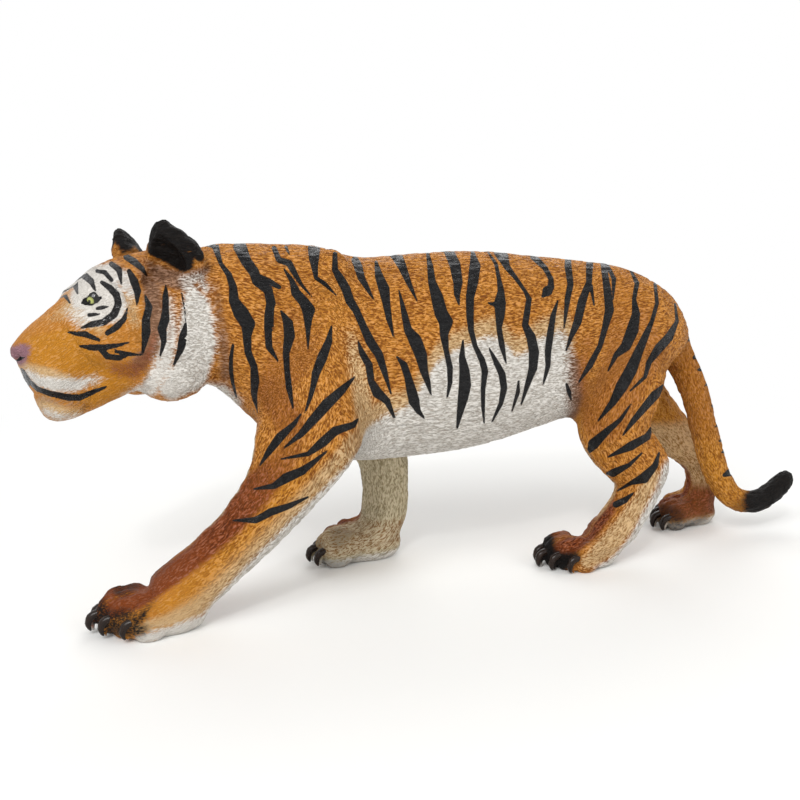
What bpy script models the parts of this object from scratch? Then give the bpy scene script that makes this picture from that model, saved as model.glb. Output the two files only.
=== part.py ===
"""A walking tiger figurine, moulded in one piece of soft vinyl with flat soles.

The nose points to -X, the left side to -Y and the soles stand on Z = 0. The figure is modelled as a
sculptor builds one: trunk, neck, legs, tail and skull are lofts through named sections, muscles, ruff
and toes are lobes pressed onto them, and a remesh fuses the clay into one skin. The ear cups, eye
sockets, mouth and nostrils are then cut, the eyeballs and claws are set in, and the soles are sliced
flat. Lengths are in metres.
"""

import math

import bmesh
import bpy
from mathutils import Matrix, Vector
from mathutils.bvhtree import BVHTree

MM = 0.001

# Trunk
WITHERS_HEIGHT = 0.1135
CROUP_DROP = 0.0085
BELLY_HEIGHT = 0.0420
TRUNK_LENGTH = 0.1500
CHEST_WIDTH = 0.0480
LOIN_WIDTH = 0.0420

# Legs: a step is how far a paw stands ahead of its shoulder or hip, and a stance is a pair's spacing
FRONT_STANCE = 0.0385
HIND_STANCE = 0.0275
LEFT_FRONT_STEP = 0.0574
RIGHT_FRONT_STEP = -0.0178
LEFT_HIND_STEP = 0.0208
RIGHT_HIND_STEP = -0.0402
FRONT_PAW_LENGTH = 0.0338
FRONT_PAW_WIDTH = 0.0205
FRONT_PAW_HEIGHT = 0.0140
HIND_PAW_LENGTH = 0.0280
HIND_PAW_WIDTH = 0.0190
HIND_PAW_HEIGHT = 0.0122
CLAW_LENGTH = 0.0060
CLAW_RADIUS = 0.0012
SOLE_PRESS = 0.0012

# Head: where its pivot lies, its turn to the left and its tilt down
HEAD_AHEAD_OF_TRUNK = 0.0421
HEAD_BELOW_WITHERS = 0.0200
HEAD_YAW = math.radians(16)
HEAD_PITCH = math.radians(20)
SKULL_LENGTH = 0.0630
SKULL_WIDTH = 0.0400
EYE_RADIUS = 0.0031
EYE_OPENING_LENGTH = 0.0062
EYE_OPENING_HEIGHT = 0.0037
EYE_DEPTH = 0.0001
SOCKET_DEPTH = 0.0014
NOSE_WIDTH = 0.0092
NOSTRIL_RADIUS = 0.0010
MOUTH_GROOVE_RADIUS = 0.0008
EAR_HEIGHT = 0.0170
EAR_WIDTH = 0.0168
EAR_DEPTH = 0.0110
EAR_WALL = 0.0021
EAR_SPREAD = 0.0330
EAR_OUTWARD = math.radians(34)

# Tail
TAIL_ROOT_RADIUS = 0.0066
TAIL_TIP_RADIUS = 0.0043
TAIL_GROUND_GAP = 0.0069
TAIL_REACH = 0.0463
TAIL_TO_LEFT = 0.0034

# Fineness of the fused clay, and of the finished skin
MASS_VOXEL = 0.0014
DETAIL_VOXEL = 0.0009
CUT_VOXEL = 0.0006
CUT_WELD = 0.00003
SKIN_TRIANGLES = 9300
RING_SIDES = 32
STEPS_PER_SECTION = 4
CREASE_ANGLE = math.radians(50)

FORWARD = Vector((-1, 0, 0))
LEFT = Vector((0, -1, 0))
RIGHT = Vector((0, 1, 0))
UP = Vector((0, 0, 1))
SIDES = (-1, 1)

TRUNK_FRONT_X = -0.0620
TRUNK_END_X = TRUNK_FRONT_X + TRUNK_LENGTH
SHOULDER_X = TRUNK_FRONT_X + 12 * MM
SHOULDER_TOP = WITHERS_HEIGHT - 15 * MM
HIP_X = TRUNK_END_X - 27 * MM
HIP_TOP = WITHERS_HEIGHT - CROUP_DROP - 19 * MM

# Neck and trunk, front to back: share of the trunk's length, drop of the back below the withers, rise
# of the underline above the belly, and width as a share of the chest's or the loin's
TRUNK_SECTIONS = (
    (-0.23, 6.0 * MM, 30.0 * MM, 0.84),
    (-0.15, 0.5 * MM, 28.0 * MM, 0.88),
    (-0.08, 0.0 * MM, 18.0 * MM, 0.92),
    (0.00, 0.3 * MM, 6.0 * MM, 0.96),
    (0.08, 1.2 * MM, 2.0 * MM, 1.00),
    (0.17, 5.0 * MM, 0.0 * MM, 1.00),
    (0.29, 4.2 * MM, 0.0 * MM, 1.04),
    (0.44, 3.7 * MM, 1.6 * MM, 1.06),
    (0.59, 6.0 * MM, 6.7 * MM, 1.01),
    (0.71, 8.0 * MM, 11.3 * MM, 0.96),
    (0.81, 10.6 * MM, 15.6 * MM, 0.93),
    (0.91, 18.0 * MM, 24.5 * MM, 0.80),
    (0.97, 31.0 * MM, 32.0 * MM, 0.44),
)
TRUNK_FULLNESS = 2.25

# Legs, top to bottom: share of the top's height, share of the step, half depth and half width
LEFT_FRONT_SECTIONS = (
    (1.00, 0.00, 10.0 * MM, 5.0 * MM),
    (0.87, 0.04, 14.0 * MM, 8.0 * MM),
    (0.75, 0.08, 16.0 * MM, 10.0 * MM),
    (0.64, 0.105, 17.2 * MM, 11.0 * MM),
    (0.54, 0.165, 16.4 * MM, 10.6 * MM),
    (0.44, 0.25, 12.3 * MM, 10.0 * MM),
    (0.325, 0.41, 10.1 * MM, 9.2 * MM),
    (0.22, 0.605, 9.4 * MM, 8.8 * MM),
    (0.14, 0.79, 9.6 * MM, 9.6 * MM),
    (0.09, 0.95, 8.0 * MM, 10.2 * MM),
)
RIGHT_FRONT_SECTIONS = (
    (1.00, -0.23, 10.0 * MM, 5.0 * MM),
    (0.85, 0.00, 14.0 * MM, 8.0 * MM),
    (0.71, 0.30, 14.5 * MM, 9.5 * MM),
    (0.59, 0.76, 13.2 * MM, 9.8 * MM),
    (0.49, 1.19, 11.4 * MM, 9.5 * MM),
    (0.385, 1.54, 9.5 * MM, 8.6 * MM),
    (0.285, 1.60, 8.7 * MM, 8.3 * MM),
    (0.195, 1.61, 8.6 * MM, 8.6 * MM),
    (0.12, 1.48, 7.8 * MM, 9.0 * MM),
    (0.08, 1.20, 6.2 * MM, 9.2 * MM),
)
LEFT_HIND_SECTIONS = (
    (1.00, -0.10, 14.0 * MM, 5.0 * MM),
    (0.88, 0.14, 17.0 * MM, 9.5 * MM),
    (0.72, 0.31, 15.9 * MM, 10.8 * MM),
    (0.58, 0.465, 13.6 * MM, 9.8 * MM),
    (0.49, 0.30, 12.1 * MM, 8.6 * MM),
    (0.395, -0.06, 11.0 * MM, 7.7 * MM),
    (0.31, -0.06, 8.9 * MM, 7.2 * MM),
    (0.23, 0.09, 7.9 * MM, 7.4 * MM),
    (0.14, 0.36, 7.8 * MM, 8.4 * MM),
    (0.09, 0.72, 6.4 * MM, 8.8 * MM),
)
RIGHT_HIND_SECTIONS = (
    (1.00, 0.08, 14.0 * MM, 5.0 * MM),
    (0.88, 0.12, 15.5 * MM, 9.5 * MM),
    (0.765, 0.22, 13.0 * MM, 10.0 * MM),
    (0.66, 0.36, 10.4 * MM, 8.8 * MM),
    (0.57, 0.535, 9.2 * MM, 8.0 * MM),
    (0.485, 0.73, 8.4 * MM, 7.4 * MM),
    (0.395, 0.90, 8.2 * MM, 7.1 * MM),
    (0.335, 1.06, 7.2 * MM, 6.9 * MM),
    (0.265, 1.165, 6.5 * MM, 6.9 * MM),
    (0.20, 1.195, 6.1 * MM, 7.2 * MM),
    (0.14, 1.175, 5.8 * MM, 8.0 * MM),
    (0.09, 1.12, 5.2 * MM, 8.2 * MM),
)

# Toes, outer to inner: how far each leads the middle of its paw, as a share of the paw's length
TOE_LEADS = (0.05, 0.22, 0.32, 0.27)
TOE_HALF_LENGTH = 0.17

# Claws, root to tip: shares of a claw's length ahead of the toe's front and below its middle, and share
# of the claw's radius
CLAW_SECTIONS = (
    (-0.75, -0.12, 0.90),
    (-0.38, -0.03, 1.00),
    (-0.02, 0.16, 1.00),
    (0.14, 0.46, 0.88),
    (0.12, 0.78, 0.62),
    (0.04, 0.98, 0.30),
)

# Tail, root to tip: share of its reach behind the trunk, share of the height from its lowest point to
# its root, share of the way from the root's radius to the tip's
TAIL_SECTIONS = (
    (-0.30, 0.93, 0.00),
    (-0.17, 0.86, 0.09),
    (-0.085, 0.75, 0.22),
    (0.005, 0.64, 0.39),
    (0.085, 0.525, 0.52),
    (0.15, 0.41, 0.52),
    (0.228, 0.285, 0.48),
    (0.315, 0.165, 0.57),
    (0.43, 0.065, 0.70),
    (0.55, 0.015, 0.78),
    (0.71, 0.00, 0.78),
    (0.79, 0.01, 0.83),
    (0.94, 0.06, 0.91),
    (1.00, 0.10, 1.00),
)

# Skull and jaw, back to front: share of the skull's length, top and bottom from the pivot, and width
# as a share of the skull's
SKULL_SECTIONS = (
    (-0.38, 10.5 * MM, -13.0 * MM, 0.78),
    (-0.25, 14.5 * MM, -17.0 * MM, 0.92),
    (-0.10, 17.0 * MM, -18.5 * MM, 1.02),
    (0.03, 18.0 * MM, -18.5 * MM, 1.03),
    (0.14, 17.7 * MM, -17.5 * MM, 0.97),
    (0.24, 15.0 * MM, -16.0 * MM, 0.84),
    (0.335, 12.7 * MM, -13.5 * MM, 0.66),
    (0.43, 10.9 * MM, -12.5 * MM, 0.56),
    (0.51, 9.4 * MM, -12.0 * MM, 0.50),
    (0.58, 7.6 * MM, -11.0 * MM, 0.43),
    (0.615, 5.0 * MM, -8.5 * MM, 0.30),
)
JAW_SECTIONS = (
    (0.02, -4.0 * MM, -18.5 * MM, 0.72),
    (0.16, -5.0 * MM, -19.9 * MM, 0.68),
    (0.32, -5.0 * MM, -20.2 * MM, 0.56),
    (0.46, -5.0 * MM, -20.2 * MM, 0.46),
    (0.56, -6.0 * MM, -19.8 * MM, 0.39),
    (0.62, -7.5 * MM, -17.4 * MM, 0.27),
)
SKULL_FULLNESS = 2.15

# Lobes on both halves of the head: share of the skull's length ahead of the pivot, then millimetres
# aside and above, then the radii ahead, aside and above
HEAD_LOBES = {
    "whisker pad": ((0.470, 5.4, -4.2), (9.4, 6.9, 7.4)),
    "cheekbone": ((0.230, 12.4, -1.0), (9.5, 5.6, 8.0)),
    "cheek": ((0.120, 14.6, -5.0), (11.0, 6.0, 11.0)),
    "brow": ((0.215, 7.6, 11.8), (6.0, 4.6, 3.2)),
    "upper ruff": ((-0.02, 16.6, -5.0), (12.5, 8.4, 14.5)),
    "lower ruff": ((0.03, 13.0, -16.6), (12.5, 10.0, 10.4)),
    "back ruff": ((-0.15, 17.0, -10.5), (8.0, 8.6, 13.5)),
}
NOSE_LOBE = ((0.585, 0.0, 3.6), (3.1, NOSE_WIDTH / 2 / MM, 3.4))
NOSTRIL_PLACE = (0.622, 2.6, 2.6)
EYE_AIM = (16.8, 13.0, 10.6)

# Mouth line: angle from straight ahead, and height above the pivot
MOUTH_LINE = ((0, -7.6), (20, -9.4), (42, -11.6), (62, -12.9), (80, -12.8), (95, -11.4))
MOUTH_TURN_SHARE = 0.40


def mixed(a, b, share):
    """The number that lies this share of the way from a to b."""
    return a + (b - a) * share


def within(low, value, high):
    """The value, kept between low and high."""
    return max(low, min(high, value))


def smooth_rows(rows):
    """Rows of numbers on a Catmull-Rom curve through the given rows, with more rows between them."""
    made = []
    last = len(rows) - 1
    for i in range(last):
        before, here, there, after = rows[max(0, i - 1)], rows[i], rows[i + 1], rows[min(last, i + 2)]
        for k in range(STEPS_PER_SECTION):
            t = k / STEPS_PER_SECTION
            made.append(tuple(
                0.5 * (2 * b + (c - a) * t + (2 * a - 5 * b + 4 * c - d) * t ** 2
                       + (3 * b - a - 3 * c + d) * t ** 3)
                for a, b, c, d in zip(before, here, there, after)
            ))
    made.append(tuple(rows[last]))
    return made


def oval(centre, across, up, half_across, half_up, fullness=2.0, sides=RING_SIDES):
    """Points of a superellipse; a fullness of 2 is an ellipse, and more is boxier."""
    points = []
    for i in range(sides):
        angle = 2 * math.pi * i / sides
        c, s = math.cos(angle), math.sin(angle)
        x = math.copysign(abs(c) ** (2 / fullness), c) * half_across
        y = math.copysign(abs(s) ** (2 / fullness), s) * half_up
        points.append(centre + across * x + up * y)
    return points


def add_loft(clay, rings):
    """Adds a closed skin over a row of rings: the rings bridged, and the ends capped."""
    loops = []
    for points in rings:
        corners = [clay.verts.new(p) for p in points]
        loops.append([clay.edges.new((corners[i - 1], corners[i])) for i in range(len(corners))])
    for first, second in zip(loops, loops[1:]):
        bmesh.ops.bridge_loops(clay, edges=first + second)
    for end in (loops[0], loops[-1]):
        bmesh.ops.edgeloop_fill(clay, edges=end)


def add_limb(clay, rows, side_axis, sides=RING_SIDES):
    """Adds a loft along a path; each row is (x, y, z, half depth, half width across side_axis)."""
    rings = []
    for i, row in enumerate(rows):
        ahead = Vector(rows[min(len(rows) - 1, i + 1)][:3])
        behind = Vector(rows[max(0, i - 1)][:3])
        along = (ahead - behind).normalized()
        across = (side_axis - along * side_axis.dot(along)).normalized()
        rings.append(oval(Vector(row[:3]), across, along.cross(across), row[4], row[3], sides=sides))
    add_loft(clay, rings)


def add_lobe(clay, centre, radii, turn=Matrix.Identity(4), fineness=3):
    """Adds an ellipsoid of clay; turn orients its three radii."""
    size = Matrix.Diagonal((*radii, 1))
    bmesh.ops.create_icosphere(clay, subdivisions=fineness, radius=1,
                               matrix=Matrix.Translation(centre) @ turn @ size)


def head_frame():
    """The head's frame as a matrix: its columns are ahead, left and up, and its origin is the pivot."""
    pivot = Vector((TRUNK_FRONT_X - HEAD_AHEAD_OF_TRUNK, 0, WITHERS_HEIGHT - HEAD_BELOW_WITHERS))
    ahead = FORWARD * math.cos(HEAD_PITCH) - UP * math.sin(HEAD_PITCH)
    up = FORWARD * math.sin(HEAD_PITCH) + UP * math.cos(HEAD_PITCH)
    turned_ahead = ahead * math.cos(HEAD_YAW) + LEFT * math.sin(HEAD_YAW)
    turned_left = LEFT * math.cos(HEAD_YAW) - ahead * math.sin(HEAD_YAW)
    frame = Matrix((turned_ahead, turned_left, up)).transposed().to_4x4()
    return Matrix.Translation(pivot) @ frame


def in_head(share, aside, above):
    """A point of the head: share of the skull's length ahead of the pivot, then metres aside and up."""
    return head_frame() @ Vector((share * SKULL_LENGTH, aside, above))


def head_turn():
    """The head's turn alone, for the lobes that lie along it."""
    return head_frame().to_3x3().to_4x4()


def add_trunk(clay):
    """Adds the neck and trunk, as one loft along X."""
    rings = []
    for share, drop, rise, width_share in smooth_rows(TRUNK_SECTIONS):
        back = WITHERS_HEIGHT - drop
        belly = BELLY_HEIGHT + rise
        width = width_share * mixed(CHEST_WIDTH, LOIN_WIDTH, within(0, share, 1))
        centre = Vector((TRUNK_FRONT_X + share * TRUNK_LENGTH, 0, (back + belly) / 2))
        rings.append(oval(centre, RIGHT, UP, width / 2, (back - belly) / 2, TRUNK_FULLNESS))
    add_loft(clay, rings)


def add_leg(clay, sections, joint_x, top, step, stance, side):
    """Adds a leg from its joint in the trunk to its paw; side is -1 on the left and 1 on the right."""
    stations = []
    for height, share, half_depth, half_width in sections:
        spread = stance / 2 - 6 * MM * within(0, 2 * height - 1, 1)
        stations.append((joint_x - share * step, side * spread, height * top, half_depth, half_width))
    add_limb(clay, smooth_rows(stations), RIGHT)


def add_muscles(clay):
    """Adds the lobes of neck, shoulder blade, upper arm and haunch."""
    for side in SIDES:
        add_lobe(clay, (TRUNK_FRONT_X - 14 * MM, side * 12 * MM, WITHERS_HEIGHT - 22 * MM),
                 (20 * MM, 10 * MM, 17 * MM))
        add_lobe(clay, (SHOULDER_X + 1 * MM, side * 12 * MM, SHOULDER_TOP - 2 * MM),
                 (9 * MM, 7 * MM, 16.5 * MM))
        add_lobe(clay, (SHOULDER_X + 6 * MM, side * 16.5 * MM, SHOULDER_TOP - 28 * MM),
                 (13 * MM, 9.5 * MM, 16 * MM))
        add_lobe(clay, (HIP_X - 5 * MM, side * 12.0 * MM, HIP_TOP - 4 * MM),
                 (19 * MM, 10.0 * MM, 18 * MM))


def put_on_paw(x, side, stance, length, ahead, aside, above):
    """A point of a paw: share of its length ahead of its middle, then metres aside and above."""
    return Vector((x - ahead * length, side * stance / 2 + aside, above))


def add_pad(clay, x, side, stance, length, width, height):
    """Adds the heel and the back of a paw, which sink below the ground by the sole's press."""
    for ahead, half_length, half_width, rise in ((-0.15, 0.36, 0.43, 0.42), (0.10, 0.30, 0.47, 0.46)):
        add_lobe(clay, put_on_paw(x, side, stance, length, ahead, 0, height * rise - SOLE_PRESS),
                 (length * half_length, width * half_width, height * 0.50))


def toe_places(side, width):
    """Sideways place and forward share of each toe of a paw, the outer toe set back."""
    half = (len(TOE_LEADS) - 1) / 2
    return [(side * (half - i) / half * width * 0.36, lead) for i, lead in enumerate(TOE_LEADS)]


def add_toes(clay, x, side, stance, length, width, height):
    """Adds a paw's toes, each a knuckle and a tip."""
    radius = width / len(TOE_LEADS) * 0.60
    for aside, ahead in toe_places(side, width):
        add_lobe(clay, put_on_paw(x, side, stance, length, ahead, aside, height * 0.50 - SOLE_PRESS),
                 (length * TOE_HALF_LENGTH, radius, height * 0.50))
        add_lobe(clay, put_on_paw(x, side, stance, length, ahead - 0.13, aside * 0.92, height * 0.62),
                 (length * 0.15, radius * 0.85, height * 0.33))


def add_claws(clay, x, side, stance, length, width, height):
    """Adds a paw's claws, which hook down from the tips of the toes."""
    for aside, ahead in toe_places(side, width):
        front = put_on_paw(x, side, stance, length, ahead + TOE_HALF_LENGTH, aside, height * 0.50)
        stations = []
        for reach, drop, share in CLAW_SECTIONS:
            spot = front + FORWARD * reach * CLAW_LENGTH - UP * drop * CLAW_LENGTH
            stations.append((*spot, share * CLAW_RADIUS, share * CLAW_RADIUS))
        add_limb(clay, stations, RIGHT, sides=10)


def paws():
    """Each paw's place and size: x, side, stance, length, width and height."""
    front = (FRONT_STANCE, FRONT_PAW_LENGTH, FRONT_PAW_WIDTH, FRONT_PAW_HEIGHT)
    hind = (HIND_STANCE, HIND_PAW_LENGTH, HIND_PAW_WIDTH, HIND_PAW_HEIGHT)
    left, right = SIDES
    return (
        (SHOULDER_X - LEFT_FRONT_STEP, left, *front),
        (SHOULDER_X - RIGHT_FRONT_STEP, right, *front),
        (HIP_X - LEFT_HIND_STEP, left, *hind),
        (HIP_X - RIGHT_HIND_STEP, right, *hind),
    )


def add_tail(clay):
    """Adds the tail, which hangs from the rump, sweeps back near the ground and curls up."""
    root_height = WITHERS_HEIGHT - CROUP_DROP - 13.5 * MM
    lowest = TAIL_GROUND_GAP + mixed(TAIL_ROOT_RADIUS, TAIL_TIP_RADIUS, 0.78)
    stations = []
    for reach, height, thinning in TAIL_SECTIONS:
        radius = mixed(TAIL_ROOT_RADIUS, TAIL_TIP_RADIUS, thinning)
        y = -TAIL_TO_LEFT * within(0, 0.6 + 8 * reach, 1)
        stations.append((TRUNK_END_X + reach * TAIL_REACH, y,
                         mixed(lowest, root_height, height), radius, radius))
    add_limb(clay, smooth_rows(stations), RIGHT)
    x, y, z, radius, _ = stations[-1]
    add_lobe(clay, (x, y, z), (radius, radius, radius))


def add_head(clay):
    """Adds the skull, the jaw and the lobes of brow, cheek, muzzle and ruff."""
    frame = head_frame()
    left, up = frame.col[1].to_3d(), frame.col[2].to_3d()
    for sections in (SKULL_SECTIONS, JAW_SECTIONS):
        rings = []
        for share, top, bottom, width in smooth_rows(sections):
            centre = in_head(share, 0, (top + bottom) / 2)
            rings.append(oval(centre, left, up, width * SKULL_WIDTH / 2, (top - bottom) / 2,
                              SKULL_FULLNESS))
        add_loft(clay, rings)
    for (share, aside, above), radii in HEAD_LOBES.values():
        for side in SIDES:
            add_lobe(clay, in_head(share, side * aside * MM, above * MM), [r * MM for r in radii],
                     head_turn())


def add_nose(clay):
    """Adds the nose pad."""
    (share, aside, above), radii = NOSE_LOBE
    add_lobe(clay, in_head(share, aside, above * MM), [r * MM for r in radii], head_turn())


def ear_rings(side, thinner, ahead_by):
    """Rings of one ear from root to tip; the scoop's are thinner all round and moved ahead."""
    frame = head_frame()
    ahead, left, up = (frame.col[i].to_3d() for i in range(3))
    out = left * side
    opening = ahead * math.cos(EAR_OUTWARD) + out * math.sin(EAR_OUTWARD)
    across = out * math.cos(EAR_OUTWARD) - ahead * math.sin(EAR_OUTWARD)
    rings = []
    for height, width, lean in smooth_rows(((-0.45, 0.86, 0.0), (0.0, 1.0, 0.0), (0.30, 0.98, 0.3),
                                            (0.58, 0.82, 0.6), (0.82, 0.55, 0.9), (1.0, 0.20, 1.0))):
        centre = in_head(-0.12, side * (EAR_SPREAD / 2 + lean * 2 * MM), 7.5 * MM)
        centre += up * (height * (EAR_HEIGHT - thinner)) - ahead * (lean * 1.5 * MM) + opening * ahead_by
        rings.append(oval(centre, across, opening, max(0.3 * MM, width * EAR_WIDTH / 2 - thinner),
                          max(0.3 * MM, width * EAR_DEPTH / 2)))
    return rings


def new_object(name, clay):
    """Links a bmesh as an object, with its faces pointing out."""
    bmesh.ops.recalc_face_normals(clay, faces=clay.faces)
    mesh = bpy.data.meshes.new(name)
    clay.to_mesh(mesh)
    clay.free()
    made = bpy.data.objects.new(name, mesh)
    bpy.context.scene.collection.objects.link(made)
    return made


def apply_modifiers(made):
    """Gives the object its evaluated mesh, and clears its modifiers."""
    graph = bpy.context.evaluated_depsgraph_get()
    mesh = bpy.data.meshes.new_from_object(made.evaluated_get(graph))
    made.modifiers.clear()
    made.data = mesh


def fuse(made, voxel, rubs):
    """Fuses overlapping clay into one skin, and rubs its creases smooth."""
    remesh = made.modifiers.new("fuse", "REMESH")
    remesh.mode = "VOXEL"
    remesh.voxel_size = voxel
    smooth = made.modifiers.new("rub", "SMOOTH")
    smooth.factor = 0.5
    smooth.iterations = rubs
    apply_modifiers(made)


def weld(made):
    """Merges the corners that a cut leaves almost on top of each other."""
    clay = bmesh.new()
    clay.from_mesh(made.data)
    bmesh.ops.remove_doubles(clay, verts=clay.verts, dist=CUT_WELD)
    bmesh.ops.dissolve_degenerate(clay, edges=clay.edges, dist=CUT_WELD / 10)
    clay.to_mesh(made.data)
    clay.free()


def combine(made, name, clay, operation):
    """Cuts clay out of the figure or joins it on, and keeps it as a hidden wire guide."""
    tool = new_object(name, clay)
    tool.hide_render = True
    tool.display_type = "WIRE"
    boolean = made.modifiers.new(name, "BOOLEAN")
    boolean.operation = operation
    boolean.object = tool
    apply_modifiers(made)
    weld(made)


def ear_scoops():
    """The hollows of the ears, which reach out through their open fronts."""
    clay = bmesh.new()
    for side in SIDES:
        add_loft(clay, ear_rings(side, EAR_WALL, EAR_DEPTH / 2)[5:])
    return clay


def skin_tree(made):
    """A search tree over the figure's faces, to find the skin along a ray."""
    return BVHTree.FromPolygons([v.co for v in made.data.vertices],
                                [p.vertices for p in made.data.polygons])


def mouth_groove(made):
    """A round cord laid on the skin along the lips, from corner to corner."""
    skin = skin_tree(made)
    frame = head_frame()
    half = smooth_rows(MOUTH_LINE)
    line = [(-angle, above) for angle, above in reversed(half)] + half[1:]
    points = []
    for angle, above in line:
        start = in_head(MOUTH_TURN_SHARE, 0, above * MM)
        turn = math.radians(angle)
        aim = frame.to_3x3() @ Vector((math.cos(turn), math.sin(turn), 0))
        hit = skin.ray_cast(start, aim)[0]
        points.append((*hit, MOUTH_GROOVE_RADIUS, MOUTH_GROOVE_RADIUS))
    clay = bmesh.new()
    add_limb(clay, points, frame.col[2].to_3d(), sides=10)
    return clay


def eye_places(made):
    """Where each eye lies on the skin, with a turn whose first axis points out of it."""
    skin = skin_tree(made)
    places = []
    for side in SIDES:
        ahead, aside, above = EYE_AIM
        start = in_head(0.08, side * 2 * MM, above * MM)
        aim = head_frame() @ Vector((ahead * MM, side * aside * MM, above * MM)) - start
        hit, skin_normal = skin.ray_cast(start, aim)[:2]
        outward = (aim.normalized() + skin_normal).normalized()
        along = (UP - outward * UP.dot(outward)).normalized().cross(outward)
        turn = Matrix((outward, along, outward.cross(along))).transposed().to_4x4()
        places.append((hit, turn))
    return places


def eye_sockets(places):
    """The almond openings between the eyelids."""
    clay = bmesh.new()
    for hit, turn in places:
        add_lobe(clay, hit, (SOCKET_DEPTH, EYE_OPENING_LENGTH / 2, EYE_OPENING_HEIGHT / 2), turn,
                 fineness=2)
    return clay


def eyeballs(places):
    """The eyeballs, set a little behind the lids."""
    clay = bmesh.new()
    for hit, turn in places:
        centre = hit - turn.col[0].to_3d() * (EYE_RADIUS + EYE_DEPTH)
        add_lobe(clay, centre, (EYE_RADIUS, EYE_RADIUS, EYE_RADIUS), turn, fineness=2)
    return clay


def nostrils():
    """Two short slanting pits in the nose pad."""
    clay = bmesh.new()
    share, aside, above = NOSTRIL_PLACE
    for side in SIDES:
        add_lobe(clay, in_head(share, side * aside * MM, above * MM),
                 (NOSTRIL_RADIUS * 1.6, NOSTRIL_RADIUS * 1.3, NOSTRIL_RADIUS), head_turn(),
                 fineness=2)
    return clay


def ground_block():
    """A block below the ground, which slices the soles flat."""
    clay = bmesh.new()
    depth = 20 * MM
    bmesh.ops.create_cube(clay, size=1, matrix=Matrix.Translation((0, 0, -depth / 2))
                          @ Matrix.Diagonal((0.5, 0.3, depth, 1)))
    return clay


def all_claws():
    """The claws of all four paws."""
    clay = bmesh.new()
    for paw in paws():
        add_claws(clay, *paw)
    return clay


def painted_vinyl(name, colour, roughness):
    """A painted vinyl finish."""
    made = bpy.data.materials.new(name)
    made.use_nodes = True
    made.diffuse_color = (*colour, 1)
    shader = made.node_tree.nodes["Principled BSDF"]
    shader.inputs["Base Color"].default_value = (*colour, 1)
    shader.inputs["Roughness"].default_value = roughness
    shader.inputs["Metallic"].default_value = 0
    return made


def build_masses():
    """Trunk, muscles, legs, paws, tail and head, fused and rubbed smooth."""
    clay = bmesh.new()
    add_trunk(clay)
    add_muscles(clay)
    front = (SHOULDER_X, SHOULDER_TOP)
    hind = (HIP_X, HIP_TOP)
    left, right = SIDES
    add_leg(clay, LEFT_FRONT_SECTIONS, *front, LEFT_FRONT_STEP, FRONT_STANCE, left)
    add_leg(clay, RIGHT_FRONT_SECTIONS, *front, RIGHT_FRONT_STEP, FRONT_STANCE, right)
    add_leg(clay, LEFT_HIND_SECTIONS, *hind, LEFT_HIND_STEP, HIND_STANCE, left)
    add_leg(clay, RIGHT_HIND_SECTIONS, *hind, RIGHT_HIND_STEP, HIND_STANCE, right)
    for paw in paws():
        add_pad(clay, *paw)
    add_tail(clay)
    add_head(clay)
    figure = new_object("tiger", clay)
    fuse(figure, MASS_VOXEL, 14)
    return figure


def press_details(figure):
    """Presses toes, nose and ears onto the smooth masses, and fuses them with a light rub."""
    clay = bmesh.new()
    clay.from_mesh(figure.data)
    for paw in paws():
        add_toes(clay, *paw)
    add_nose(clay)
    for side in SIDES:
        add_loft(clay, ear_rings(side, 0, 0))
    bmesh.ops.recalc_face_normals(clay, faces=clay.faces)
    clay.to_mesh(figure.data)
    clay.free()
    fuse(figure, DETAIL_VOXEL, 2)


def thin_skin(figure):
    """Collapses the skin to fewer triangles, keeping most where it curves."""
    figure.data.calc_loop_triangles()
    thin = figure.modifiers.new("thin", "DECIMATE")
    thin.ratio = SKIN_TRIANGLES / len(figure.data.loop_triangles)
    apply_modifiers(figure)


def centre_over_origin(figure):
    """Slides the figure so that the middle of its box stands over the origin."""
    corners = [v.co for v in figure.data.vertices]
    middle = [(max(c[i] for c in corners) + min(c[i] for c in corners)) / 2 for i in range(2)]
    figure.data.transform(Matrix.Translation((-middle[0], -middle[1], 0)))


def main():
    for old in list(bpy.data.objects):
        bpy.data.objects.remove(old)
    figure = build_masses()
    press_details(figure)
    combine(figure, "ear_scoops", ear_scoops(), "DIFFERENCE")
    combine(figure, "mouth_groove", mouth_groove(figure), "DIFFERENCE")
    fuse(figure, CUT_VOXEL, 1)
    eyes = eye_places(figure)
    thin_skin(figure)
    combine(figure, "eye_sockets", eye_sockets(eyes), "DIFFERENCE")
    combine(figure, "eyeballs", eyeballs(eyes), "UNION")
    combine(figure, "nostrils", nostrils(), "DIFFERENCE")
    combine(figure, "claws", all_claws(), "UNION")
    combine(figure, "ground_block", ground_block(), "DIFFERENCE")
    centre_over_origin(figure)
    figure.data.materials.clear()
    figure.data.materials.append(painted_vinyl("painted_vinyl_coat", (0.62, 0.27, 0.06), 0.55))
    figure.data.shade_smooth()
    figure.data.set_sharp_from_angle(angle=CREASE_ANGLE)


main()
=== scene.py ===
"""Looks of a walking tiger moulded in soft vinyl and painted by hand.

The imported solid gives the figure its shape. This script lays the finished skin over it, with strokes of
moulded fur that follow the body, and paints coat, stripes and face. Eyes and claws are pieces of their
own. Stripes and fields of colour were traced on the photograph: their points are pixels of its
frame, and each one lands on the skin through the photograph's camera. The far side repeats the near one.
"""

import logging
import math
from dataclasses import dataclass
from enum import Enum

import bpy
import numpy as np
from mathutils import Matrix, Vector
from mathutils.bvhtree import BVHTree


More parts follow.
